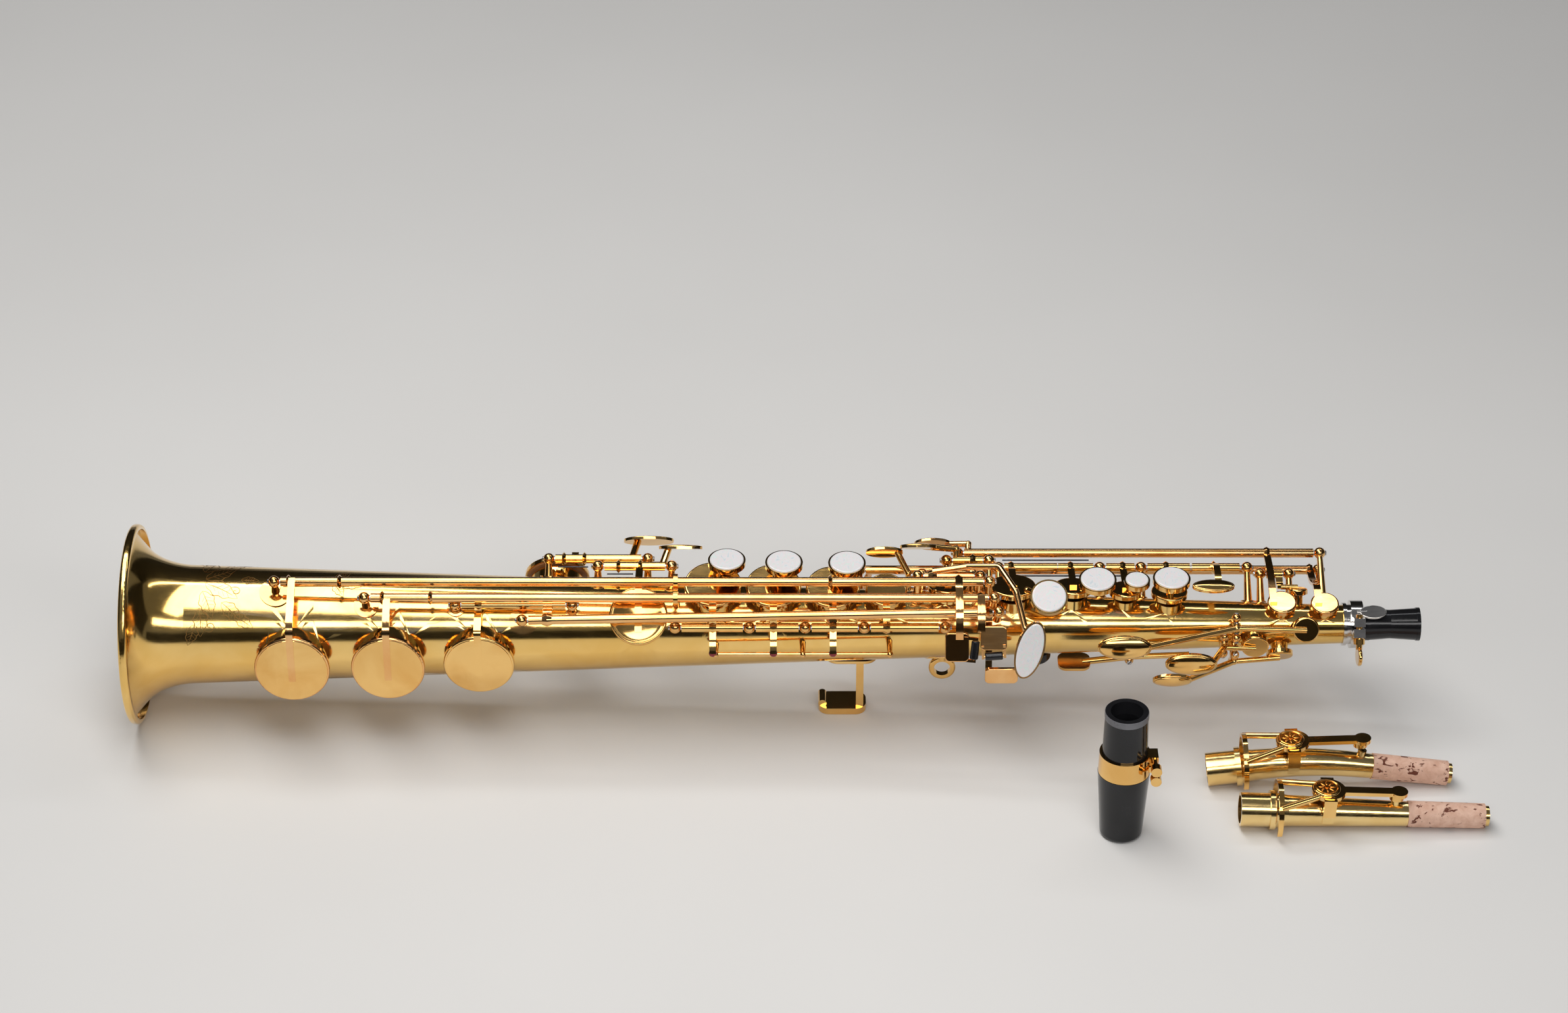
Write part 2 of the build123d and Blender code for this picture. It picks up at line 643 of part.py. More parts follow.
def csharp_lever():
    """The long lever that lifts the low C sharp key."""
    line = CSHARP_LEVER
    angle, radius = line.polar(192)
    tongue = band(192.0, (angle, radius - 1.8), (42.5, 28.2), 0.0, 4.4, 1.4)
    start = line.polar(391.6)
    arm = band(391.6, (start[0], start[1] - 2.4), (96, 33.5), -2.6, 3.0, 1.5)
    touch = plate(seat(397.5, 99, 33.0), RectangleRounded(15.0, 9.0, 2.2), 1.6, 0.5)
    parts = [line.tube(), tongue, arm, touch, line.collar(192.0, 3.0, 4.4), line.collar(391.6, 3.0, 3.0)]
    return fuse(parts) - line.bore()


def table_roller(x, angle, twist, length):
    """A roller in the edge of a table plate, bored for its axle."""
    roller = Rot(0, 90, 0) * Cylinder(ROLLER_RADIUS, length)
    roller = fillet(roller.edges(), 0.6) - Rot(0, 90, 0) * Cylinder(AXLE_RADIUS + RUNNING_CLEARANCE, length + 1)
    return seat(x, angle, TABLE_RADIUS, twist) * roller


def roller_axle(x, angle, twist, length):
    """The axle of a roller, and the two lugs that hold it to the plate's edge."""
    half = length / 2 + END_PLAY
    axle = Rot(0, 90, 0) * Cylinder(AXLE_RADIUS, 2 * half + 1)
    parts = [axle]
    for side in (-1, 1):
        parts.append(Pos(side * (half + 0.6), 2.2, 0) * Box(1.2, 6.4, 1.6))
    return seat(x, angle, TABLE_RADIUS, twist) * fuse(parts)


PINKY_OUTLINE = Ellipse(11.5, 6.0)


def low_c_key():
    """Low C: stands open on the far side; its touch is for the little finger."""
    line = LOW_C
    arm = cup_arm("low_c", line, 203.0, bulge=1.2)
    touch = plate(seat(236.5, -56, 39.0), PINKY_OUTLINE, 1.5, 0.4)
    riser = bar(line.point(229), spot(231.5, -55, 39.4), 1.7)
    parts = [line.tube(), key_cup("low_c"), arm, touch, riser, line.collar(197.9), line.collar(207.3)]
    return turned(fuse(parts) - line.bore(), line, OPEN["low_c"])


def eb_key():
    """Low E flat: closed; its cup is on the near side of the right-hand stack."""
    line = EB
    arm = cup_arm("eb", line, bulge=0.6, overrun=0.75)
    touch = plate(seat(251.5, -36, 34.4), Ellipse(10.0, 5.4), 1.5, 0.4)
    riser = bar(line.point(243.2), spot(246.0, -34, 34.8), 1.7)
    parts = [line.tube(), key_cup("eb"), arm, touch, riser, line.collar(223.3), line.collar(233.3)]
    return fuse(parts) - line.bore()


# ---- stacks --------------------------------------------------------------------
PEARL_RADIUS = 7.75
# name: x of the pearl, its angle, its radius from the bore's axis, its own radius
PEARLS = {
    "d": (273.0, -3, 33.6, PEARL_RADIUS),
    "e": (299.0, -1, 33.2, PEARL_RADIUS),
    "f": (327.6, -1, 32.8, PEARL_RADIUS),
    "g": (419.0, 36, 28.4, PEARL_RADIUS),
    "a": (441.6, 13, 26.6, PEARL_RADIUS),
    "bis": (459.6, 10, 25.2, 5.2),
    "b": (475.4, 9, 25.8, PEARL_RADIUS),
}
# name: ends of the hinge tube on the shared line
STACK_TUBES = {
    "d": (252.6, 280.3), "e": (286.3, 305.6), "f": (311.6, 332.4), "f_sharp": (338.4, 369.0),
    "g": (400.5, 424.9), "a": (425.3, 441.5), "bis": (447.5, 460.5), "b": (466.5, 486.0),
}


def pearl_plane(name):
    x, angle, radius, _ = PEARLS[name]
    return seat(x, angle, radius)


def pearl_room(name):
    """The space that a pearl fills, and what is above it."""
    return disc(pearl_plane(name), PEARLS[name][3], 4.0, low=-1.0)


def stack_pearl(name):
    line = RIGHT_STACK if name in ("d", "e", "f") else LEFT_STACK
    return turned(pearl(pearl_plane(name), PEARLS[name][3]), line, OPEN[name])


def right_stack_key(name):
    """A right-hand key: cup, arm over it, pearl above and a foot on the stop rail."""
    line = RIGHT_STACK
    x = TONE_HOLES[name][0]
    arm = cup_arm(name, line, bulge=0.8)
    parts = [line.tube(*STACK_TUBES[name]), key_cup(name), arm, line.collar(x, 3.0, 3.2)]
    if name in PEARLS:
        pearl_x, pearl_angle, radius, size = PEARLS[name]
        parts.append(pearl_holder(pearl_plane(name), size))
        under_pearl = spot(pearl_x - 3, pearl_angle, radius - 2)
        parts.append(bar(under_pearl, spot(x + 1.5, 4, cup_top(name) - 1), 2.2))
        parts.append(band(x, line.polar(x), (RAIL_ANGLE - 5, RAIL_RADIUS + 3.6), 0.4, 3.0, 1.5))
    key = fuse(parts) - line.bore()
    if name in PEARLS:
        key = key - pearl_room(name)
    return turned(key, line, OPEN[name])


def left_stack_key(name):
    """A left-hand key: cup, arm from the far side, and its pearl beside the cup."""
    line = LEFT_STACK
    x, angle, _, _ = TONE_HOLES[name]
    arm = cup_arm(name, line, bulge=0.6)
    pearl_x, pearl_angle, radius, size = PEARLS[name]
    under = spot(pearl_x, pearl_angle, radius - 2.0)
    start = spot(x + 0.4 * (pearl_x - x), angle + 0.4 * (pearl_angle - angle), cup_top(name) - 0.2)
    parts = [
        line.tube(*STACK_TUBES[name]), key_cup(name), arm, line.collar(x, 3.0, 2.4),
        pearl_holder(pearl_plane(name), size), bar(start, under, 1.6), ball(start, 1.8),
    ]
    return turned(fuse(parts) - line.bore() - pearl_room(name), line, OPEN[name])


def front_f_key():
    """Front F: a teardrop touch that rocks on the left-hand line."""
    line = LEFT_STACK
    tube = line.tube(487.0, 508.9)
    arm = band(497.0, line.polar(497), (8, 23.5), 1.5, 3.0)
    drop = plate(seat(494.5, 10, 23.4), Ellipse(9.6, 3.9), 1.6, 0.5)
    return fuse([tube, arm, drop, line.collar(497.0)]) - line.bore()


# ---- G sharp --------------------------------------------------------------------
GSHARP_PEARL = (409.7, 73, 39.4)
GSHARP_PEARL_SIZE = (5.6, 12.9)
GSHARP_PEARL_TWIST = -15


def gsharp_key():
    """G sharp: a closed key under the long rods' ends."""
    line = GSHARP
    arm = cup_arm("g_sharp", line, bulge=0.4)
    return fuse([line.tube(), key_cup("g_sharp"), arm, line.collar(374.0, 3.0, 3.0)]) - line.bore()


def gsharp_lever():
    """Touch for G sharp: a bent rod over the long rods' ends to an oval pearl."""
    line = GSHARP_LEVER
    x, angle, radius = GSHARP_PEARL
    route = [
        line.point(366.5) + Vector(0, 0, 2.6), spot(382.0, 4, 33.4), spot(396.5, 10, 36.6),
        spot(403.4, 34, 40.4), spot(407.4, 58, 39.0), spot(x, angle, radius - 1.2),
    ]
    rod = bent_rod(route, 1.5, 3.5)
    plane = seat(x, angle, radius, GSHARP_PEARL_TWIST)
    holder = Pos(0, 0, -1.8) * extrude(Ellipse(GSHARP_PEARL_SIZE[0] + 0.8, GSHARP_PEARL_SIZE[1] + 0.8), 1.8)
    recess = Pos(0, 0, -0.8) * extrude(Ellipse(*GSHARP_PEARL_SIZE), 4.0)
    parts = [line.tube(), rod, plane * holder, line.collar(366.5, 3.2, 4.0)]
    return fuse(parts) - plane * recess - line.bore()


def gsharp_pearl():
    x, angle, radius = GSHARP_PEARL
    oval = Pos(0, 0, -0.8) * extrude(Ellipse(*GSHARP_PEARL_SIZE), 1.5)
    oval = fillet(oval.faces().sort_by(Axis.Z)[-1].edges(), 0.6)
    return seat(x, angle, radius, GSHARP_PEARL_TWIST) * oval


# ---- side keys -------------------------------------------------------------------
def side_key(name, line, arm_x, touch_place, root_x, elbow, bulge=1.0):
    """A side key: its touch at one end of a hinge tube, its cup at the other."""
    touch_x, touch_angle, touch_radius = touch_place
    touch = plate(seat(*touch_place), Ellipse(8.6, 4.6), 1.5, 0.4)
    corner = spot(root_x, *elbow)
    stalk = [
        bar(line.point(root_x), corner, 1.5), ball(corner, 1.65),
        bar(corner, spot(touch_x + 6.0, touch_angle, touch_radius + 0.5), 1.5),
    ]
    arm = cup_arm(name, line, arm_x, bulge)
    parts = [line.tube(), key_cup(name), arm, touch, line.collar(arm_x, 3.0, 2.6)]
    return fuse(parts + stalk) - line.bore()


def side_bb_key():
    return side_key("side_bb", SIDE_BB, 386.0, (361.0, -40, 35.0), 378.4, (-47, 35.4))


def side_c_key():
    return side_key("side_c", SIDE_C, 417.0, (345.5, -60, 36.2), 356.6, (-67, 27.6))


def side_e_key():
    return side_key("side_e", SIDE_E, 522.4, (368.0, -64, 42.0), 384.4, (-61, 41.4), bulge=2.0)


def high_fs_key():
    return side_key("high_fs", HIGH_FS, 543.0, (330.0, -96, 37.0), 338.4, (-84, 35.4), bulge=-1.0)


# ---- palm keys --------------------------------------------------------------------
# name: x, angle and radius of the touch, its half length and half width
PALM_TOUCHES = {
    "palm_d": (453.0, 75, 31.0, 12.3, 5.6),
    "palm_eb": (483.3, 89, 32.0, 11.8, 5.6),
    "palm_f": (476.0, 118, 28.0, 9.0, 5.0),
}


def palm_key(name, line):
    """A palm key: a long lever from the touch over a short pivot to its cup."""
    x, angle, _, _ = TONE_HOLES[name]
    pivot_x, pivot_angle = PALM_PIVOTS[name]
    touch_x, touch_angle, touch_radius, half_length, half_width = PALM_TOUCHES[name]
    paddle = plate(seat(touch_x, touch_angle, touch_radius), Ellipse(half_length, half_width), 1.8, 0.7)
    pivot_radius = outer_radius(pivot_x) + PALM_PIVOT_RISE
    on_cup = spot(x, angle, cup_top(name))
    over_pivot = spot(pivot_x, pivot_angle, pivot_radius + 1.9)
    at_paddle = spot(touch_x + 0.8 * half_length, touch_angle, touch_radius + 0.6)
    half = line.direction * (PALM_PIVOT_HALF - 2.1 - END_PLAY)
    middle = (line.start + line.end) * 0.5
    tube = bar(middle - half, middle + half, 1.9)
    lever = fuse([bar(on_cup, over_pivot, 1.3), ball(over_pivot, 1.7), bar(over_pivot, at_paddle, 1.5)])
    return fuse([tube, lever, paddle, key_cup(name)]) - line.bore()


# ---- octave mechanism ----------------------------------------------------------------
def octave_key():
    """The small key over the body's octave vent."""
    line = OCTAVE
    arm = cup_arm("octave", line, 526.8, 0.4)
    x, angle, _, _ = TONE_HOLES["octave"]
    link = bar(spot(526.8, angle, cup_top("octave")), spot(x, angle, cup_top("octave")), 1.2)
    return fuse([line.tube(), key_cup("octave"), arm, link]) - line.bore()


def octave_lever():
    """Thumb lever on the back, beside the thumb rest; it rocks on a short pivot."""
    line = OCTAVE_LEVER
    pivot_x, angle = PALM_PIVOTS["octave"]
    pivot_radius = outer_radius(pivot_x) + PALM_PIVOT_RISE
    touch = plate(seat(433.0, angle, 21.6), RectangleRounded(15.0, 12.0, 4.0), 1.6, 0.5)
    over_pivot = spot(pivot_x, angle, pivot_radius + 1.9)
    arm = bar(over_pivot, spot(437.0, angle, 22.2), 1.6)
    finger = bar(over_pivot, spot(486.0, angle, 18.0), 1.4)
    half = line.direction * (PALM_PIVOT_HALF - 2.1 - END_PLAY)
    middle = (line.start + line.end) * 0.5
    tube = bar(middle - half, middle + half, 1.9)
    return fuse([tube, touch, arm, finger, ball(over_pivot, 1.8)]) - line.bore()


# ---- necks -------------------------------------------------------------------------------
NECK_LENGTH = 111.0
TENON_LENGTH = 13.0
TENON_RADIUS = 7.55
NECK_COLLAR_RADIUS = 8.85
NECK_COLLAR_END = 15.4
NECK_ROOT_X = 21.0           # where the collar has run out into the tapered pipe
NECK_ROOT_RADIUS = 7.0
NECK_TIP_RADIUS = 4.6
NECK_WALL = 0.6
CORK_LENGTH = 34.5
CORK_RADIUS = 5.9
CORK_END_RADIUS = 5.6
CORK_TIP = 1.8               # bare pipe beyond the cork
BEND_START = 22.0            # a curved neck's bend, along its axis
BEND_END = 66.0
BEND_STATIONS = [NECK_ROOT_X, 30.0, 44.0, 56.0, BEND_END]
NECK_VENT_X = 69.0           # from the tenon's end
SADDLE_X = 38.6              # pivot of the neck's octave key
SADDLE_HALF = 6.4
SADDLE_RISE = 6.0
KEY_RING_X = 17.0            # ring of the neck's octave key
RING_RADIUS = 13.0


def neck_radius(x):
    """Outside radius of a neck's pipe at x from the tenon's end."""
    share = (x - NECK_ROOT_X) / (NECK_LENGTH - NECK_ROOT_X)
    return NECK_ROOT_RADIUS + share * (NECK_TIP_RADIUS - NECK_ROOT_RADIUS)


class Neck:
    """One neck: its axis is straight for the tenon, then bent down evenly, then straight again."""

    def __init__(self, x, y, bend):
        self.bend = radians(bend)
        low_points = [(0.0, -TENON_RADIUS), (TENON_LENGTH, -NECK_COLLAR_RADIUS),
                      (NECK_COLLAR_END, -NECK_COLLAR_RADIUS)]
        tip = self.axis_point(NECK_LENGTH - CORK_TIP)
        slope = self.slope(NECK_LENGTH)
        end = (tip.X - CORK_END_RADIUS * sin(slope), tip.Z - CORK_END_RADIUS * cos(slope))
        self.tilt = max(-atan2(low[1] - end[1], end[0] - low[0]) for low in low_points)
        height = max(low[0] * sin(self.tilt) - low[1] * cos(self.tilt) for low in low_points)
        self.location = Location((x, y, FLOOR + height), (0, degrees(self.tilt), 0))

    def slope(self, x):
        """Downward slope of the axis at x, in radians."""
        share = (x - BEND_START) / (BEND_END - BEND_START)
        return self.bend * min(max(share, 0.0), 1.0)

    def axis_point(self, x):
        """Where the axis is after a length x of it."""
        steps = 40
        point = Vector(0, 0, 0)
        for step in range(steps):
            slope = self.slope((step + 0.5) * x / steps)
            point = point + Vector(cos(slope), 0, -sin(slope)) * (x / steps)
        return point

    def on(self, x):
        """The move from a straight neck to this one for a thing that sits at x."""
        point = self.axis_point(x)
        return Location((point.X, 0, point.Z), (0, degrees(self.slope(x)), 0)) * Location((-x, 0, 0))

    def place(self, shape, x):
        return shape.moved(self.location * self.on(x))

    def ring(self, x, radius):
        """The round section of the pipe at x."""
        return (Plane(origin=(x, 0, 0), z_dir=(1, 0, 0)) * Circle(radius)).moved(self.on(x))

    def bend_piece(self, thickness=0.0):
        """The bent part of the tapered pipe, as a solid; its radius is the pipe's less thickness."""
        return loft([self.ring(x, neck_radius(x) - thickness) for x in BEND_STATIONS])

    def end_piece(self, start, end, thickness=0.0):
        """A straight piece of the tapered pipe beyond the bend."""
        piece = bar((start, 0, 0), (end, 0, 0), neck_radius(start) - thickness, neck_radius(end) - thickness)
        return piece.moved(self.on(BEND_END))

    def pivot(self):
        """Pivot line of the octave key."""
        ends = []
        for side in (-1, 1):
            ends.append(self.place(Vertex(SADDLE_X, side * SADDLE_HALF, SADDLE_RISE), SADDLE_X).center())
        return Hinge(*ends)

    def pipe(self):
        """Tenon, collar and tapered pipe, bored through, with the vent and the pivot ears."""
        tenon = spun([
            (0, TENON_RADIUS), (TENON_LENGTH, TENON_RADIUS), (TENON_LENGTH, NECK_COLLAR_RADIUS),
            (NECK_COLLAR_END, NECK_COLLAR_RADIUS), (NECK_COLLAR_END, TENON_RADIUS + 0.5),
            (NECK_ROOT_X, NECK_ROOT_RADIUS),
        ])
        tenon_bore = spun([(-1, 6.3), (NECK_ROOT_X, neck_radius(NECK_ROOT_X) - NECK_WALL)])
        vent = bar((NECK_VENT_X, 0, 4.4), (NECK_VENT_X, 0, neck_radius(NECK_VENT_X) + 2.6), 2.0)
        ears = [Pos(SADDLE_X, side * SADDLE_HALF, 3.5) * Box(5.0, 1.6, 10.0) for side in (-1, 1)]
        fittings = [vent.moved(self.on(NECK_VENT_X))] + [ear.moved(self.on(SADDLE_X)) for ear in ears]
        vent_hole = bar((NECK_VENT_X, 0, 0), (NECK_VENT_X, 0, 15), 0.8).moved(self.on(NECK_VENT_X))
        pin_hole = bar((SADDLE_X, -12, SADDLE_RISE), (SADDLE_X, 12, SADDLE_RISE), 1.0).moved(self.on(SADDLE_X))
        pipe = tenon.fuse(self.bend_piece(), self.end_piece(BEND_END, NECK_LENGTH), *fittings)
        bores = [tenon_bore, self.bend_piece(NECK_WALL), self.end_piece(BEND_END, NECK_LENGTH + 1, NECK_WALL)]
        return pipe.cut(*bores, vent_hole, pin_hole).moved(self.location)

    def cork(self):
        end = NECK_LENGTH - CORK_TIP
        start = end - CORK_LENGTH
        sleeve = bar((start, 0, 0), (end, 0, 0), CORK_RADIUS, CORK_END_RADIUS)
        pipe = bar((start - 1, 0, 0), (end + 1, 0, 0), neck_radius(start - 1), neck_radius(end + 1))
        return self.place(sleeve - pipe, BEND_END)

    def octave_key(self):
        """Ring that the body's pin lifts, its two branches, a broad arm, and the cup over the vent."""
        ring = Rot(0, 90, 0) * (Cylinder(RING_RADIUS + 0.8, 2.2) - Cylinder(RING_RADIUS - 0.8, 3.0))
        ring = Pos(KEY_RING_X, 0, 0) * ring
        cut_away = Pos(KEY_RING_X, 0, -16) * Box(40, 60, 22.0)
        top = SADDLE_RISE + 5.6
        stem_length = NECK_VENT_X - SADDLE_X
        outline = Pos(SADDLE_X, 0) * Circle(7.6) + Pos(NECK_VENT_X + 1, 0) * Circle(3.8)
        outline = outline + Pos(SADDLE_X + stem_length / 2, 0) * Rectangle(stem_length, 4.6)
        arm = Pos(0, 0, top - 0.9) * extrude(outline, 1.8)
        reach = SADDLE_HALF + 2.2
        cross = bar((SADDLE_X, -reach, SADDLE_RISE), (SADDLE_X, reach, SADDLE_RISE), 0.95)
        parts = [ring - cut_away, arm, cross]
        for side in (-1, 1):
            foot = (KEY_RING_X, side * RING_RADIUS * sin(radians(50)), RING_RADIUS * cos(radians(50)))
            parts.append(bar((SADDLE_X - 3.7, side * 4.4, top + 0.1), foot, 1.45))
            parts.append(Pos(SADDLE_X, side * (SADDLE_HALF + 1.9), SADDLE_RISE + 1.2) * Box(5.6, 1.4, 8.0))
        parts.append(Pos(SADDLE_X, 0, top - 0.2) * Box(5.8, 2 * SADDLE_HALF + 5.2, 1.6))
        badge = Pos(SADDLE_X - 1, 0, top + 0.9) * Cylinder(6.2, 2.0)
        parts.append(fillet(badge.edges().sort_by(Axis.Z)[-1], 0.7))
        pad_base = neck_radius(NECK_VENT_X) + 2.75
        parts.append(Pos(NECK_VENT_X, 0, (pad_base + top) / 2) * Cylinder(3.2, top - pad_base))
        return self.place(fuse(parts), SADDLE_X)


STRAIGHT_NECK = Neck(502.0, -92.0, 0)
CURVED_NECK = Neck(490.0, -60.0, 14)

# ---- mouthpiece ---------------------------------------------------------------------------
MOUTHPIECE_PLACE = (449.0, -96.0)
MOUTHPIECE_HEIGHT = 66.0


def mouthpiece():
    """Black mouthpiece that stands on its cap with its shank upwards."""
    upright = (Align.CENTER, Align.CENTER, Align.MIN)
    cap = Cone(9.4, 11.6, 34, align=upright)
    cap = fillet(cap.edges().sort_by(Axis.Z)[0], 2.0)
    waist = Pos(0, 0, 34) * Cone(10.2, 10.0, 12, align=upright)
    shank = Pos(0, 0, 45.9) * Cone(10.0, 9.5, MOUTHPIECE_HEIGHT - 45.9, align=upright)
    bore = Pos(0, 0, 40) * Cylinder(CORK_RADIUS + 0.1, 40, align=upright)
    mouth = Pos(0, 0, MOUTHPIECE_HEIGHT - 6) * Cone(CORK_RADIUS, 7.2, 6.1, align=upright)
    body = fuse([cap, waist, shank]) - bore - mouth
    return body.moved(Location((*MOUTHPIECE_PLACE, FLOOR)))


def ligature():
    """Metal band that holds the reed, with two screw lugs."""
    sleeve = Pos(0, 0, 34.2) * Cone(11.5, 11.2, 10.0, align=(Align.CENTER, Align.CENTER, Align.MIN))
    hollow = Pos(0, 0, 34.1) * Cone(10.35, 10.15, 10.4, align=(Align.CENTER, Align.CENTER, Align.MIN))
    lugs = []
    for height in (36.6, 41.8):
        lugs.append(Pos(12.6, 0, height) * Box(4.2, 7.0, 3.0))
        lugs.append(bar((13.2, -9.0, height), (13.2, 4.0, height), 1.1))
        lugs.append(bar((13.2, -12.6, height), (13.2, -8.9, height), 2.4))
    body = fuse([sleeve - hollow] + lugs) - hollow
    return body.moved(Location((*MOUTHPIECE_PLACE, FLOOR)))


# ---- everything -----------------------------------------------------------------------------
def make_all():
    parts = {
        "body_tube": body_tube(),
        "bell_flare": bell_flare(),
        "bell_rim": bell_rim(),
        "neck_receiver": neck_receiver(),
        "receiver_screw": receiver_screw(),
        "end_plug": end_plug(),
        "key_posts": key_posts(),
        "hinge_rods": hinge_rods(),
        "needle_springs": needle_springs(),
        "thumb_hook": thumb_hook(),
        "thumb_rest": thumb_rest(),
        "strap_ring": strap_ring(),
        "low_bb_key": low_bb_key(),
        "low_bb_pad": turned(key_pad("low_bb"), LOW_BB, OPEN["low_bb"]),
        "low_b_key": low_b_key(),
        "low_b_pad": turned(key_pad("low_b"), LOW_B, OPEN["low_b"]),
        "low_csharp_key": csharp_key(),
        "low_csharp_pad": key_pad("low_csharp"),
        "csharp_lever": csharp_lever(),
        "bb_table_roller": turned(table_roller(*BB_ROLLER), LOW_BB, OPEN["low_bb"]),
        "b_table_roller": turned(table_roller(*B_ROLLER), LOW_B, OPEN["low_b"]),
        "low_c_key": low_c_key(),
        "low_c_pad": turned(key_pad("low_c"), LOW_C, OPEN["low_c"]),
        "eb_key": eb_key(),
        "f_sharp_key": right_stack_key("f_sharp"),
        "g_sharp_key": gsharp_key(),
        "g_sharp_lever": gsharp_lever(),
        "g_sharp_pearl": gsharp_pearl(),
        "front_f_key": front_f_key(),
        "side_bb_key": side_bb_key(),
        "side_c_key": side_c_key(),
        "side_e_key": side_e_key(),
        "high_fs_key": high_fs_key(),
        "palm_d_key": palm_key("palm_d", PALM_D),
        "palm_eb_key": palm_key("palm_eb", PALM_EB),
        "palm_f_key": palm_key("palm_f", PALM_F),
        "octave_key": octave_key(),
        "octave_lever": octave_lever(),
        "mouthpiece": mouthpiece(),
        "ligature": ligature(),
    }
    for name in ("d", "e", "f"):
        parts[name + "_key"] = right_stack_key(name)
        parts[name + "_pearl"] = stack_pearl(name)
    for name in ("g", "a", "bis", "b"):
        parts[name + "_key"] = left_stack_key(name)
        parts[name + "_pearl"] = stack_pearl(name)
    for name, neck in (("straight_neck", STRAIGHT_NECK), ("curved_neck", CURVED_NECK)):
        parts[name] = neck.pipe()
        parts[name + "_cork"] = neck.cork()
        parts[name + "_octave_key"] = neck.octave_key()
    return parts


def frame_shift(parts):
    """The move that puts the origin at the centre of the base of the whole set."""
    box = Compound(list(parts.values())).bounding_box()
    middle = (box.min + box.max) * 0.5
    return Location((-round(middle.X, 2), -round(middle.Y, 2), -round(box.min.Z, 2)))


def main():
    parts = make_all()
    shift = frame_shift(parts)
    for name, shape in parts.items():
        export_step(shape.moved(shift), f"parts/{name}.step")


if __name__ == "__main__":
    main()
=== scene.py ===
"""Looks of the soprano saxophone: its materials, the small pieces that the part leaves out, and a studio.

Places on the body are given as in the part: x in millimetres along the bore from the bell's mouth,
and an angle in degrees round the bore, which starts at the top and turns towards -Y.
"""

import json
import math

import bpy
from mathutils import Matrix, Vector


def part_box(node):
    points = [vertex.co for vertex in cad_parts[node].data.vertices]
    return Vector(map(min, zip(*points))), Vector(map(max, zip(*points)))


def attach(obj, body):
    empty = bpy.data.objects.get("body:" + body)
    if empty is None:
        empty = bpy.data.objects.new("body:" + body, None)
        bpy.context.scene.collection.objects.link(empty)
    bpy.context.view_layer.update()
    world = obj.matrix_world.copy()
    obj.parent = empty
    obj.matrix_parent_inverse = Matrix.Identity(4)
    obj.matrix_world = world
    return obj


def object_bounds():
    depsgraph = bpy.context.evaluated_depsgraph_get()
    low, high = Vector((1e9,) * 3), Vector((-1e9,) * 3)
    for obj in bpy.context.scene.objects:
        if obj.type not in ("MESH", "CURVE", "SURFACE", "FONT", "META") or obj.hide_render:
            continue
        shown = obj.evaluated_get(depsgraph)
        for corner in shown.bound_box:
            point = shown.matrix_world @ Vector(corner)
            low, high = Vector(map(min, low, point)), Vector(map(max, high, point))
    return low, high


MM = 0.001

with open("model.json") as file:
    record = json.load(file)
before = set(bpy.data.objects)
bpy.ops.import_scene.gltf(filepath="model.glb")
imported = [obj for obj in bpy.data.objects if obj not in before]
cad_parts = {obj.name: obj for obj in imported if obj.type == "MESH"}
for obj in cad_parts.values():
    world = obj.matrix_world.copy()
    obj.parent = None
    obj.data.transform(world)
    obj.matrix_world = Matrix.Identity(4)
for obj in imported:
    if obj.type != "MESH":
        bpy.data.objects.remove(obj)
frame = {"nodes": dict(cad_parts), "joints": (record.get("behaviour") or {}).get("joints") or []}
cad_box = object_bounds()
joint_of = {joint["child"]: joint for joint in frame["joints"]}

# ---- the body's cone ---------------------------------------------------------------
CONE_SLOPE = 0.0349          # outer radius gained per millimetre towards the bell
BORE_APEX = 809.0            # where the cone would come to a point
rim_low, rim_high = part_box("bell_rim")
BORE = Vector((rim_low.x, (rim_low.y + rim_high.y) / 2, (rim_low.z + rim_high.z) / 2))


def outer_radius(x):
    """Outside radius of the body at x, in millimetres."""
    return CONE_SLOPE * (BORE_APEX - x)


def outward(angle):
    """The direction straight out of the body at an angle."""
    turn = math.radians(angle)
    return Vector((0, -math.sin(turn), math.cos(turn)))


def spot(x, angle, radius):
    """A point at an angle and a distance from the bore."""
    turn = math.radians(angle)
    return BORE + Vector((x, -radius * math.sin(turn), radius * math.cos(turn))) * MM


def placed(origin, along, out):
    """A matrix with a given origin, x direction and z direction."""
    matrix = Matrix((along, out.cross(along), out)).transposed().to_4x4()
    matrix.translation = origin
    return matrix


def seat(x, angle, radius):
    """A frame on the body: its z points straight out and its x along the bore."""
    return placed(spot(x, angle, radius), Vector((1, 0, 0)), outward(angle))


def swung(matrix, body, degrees):
    """A matrix turned about the joint that a body hangs on."""
    joint = joint_of[body]
    pivot = Matrix.Translation(joint["pos_m"])
    turn = Matrix.Rotation(math.radians(degrees), 4, Vector(joint["axis"]))
    return pivot @ turn @ pivot.inverted() @ matrix


def in_millimetres(matrix):
    """The same frame, for points given in millimetres."""
    return matrix @ Matrix.Scale(MM, 4)


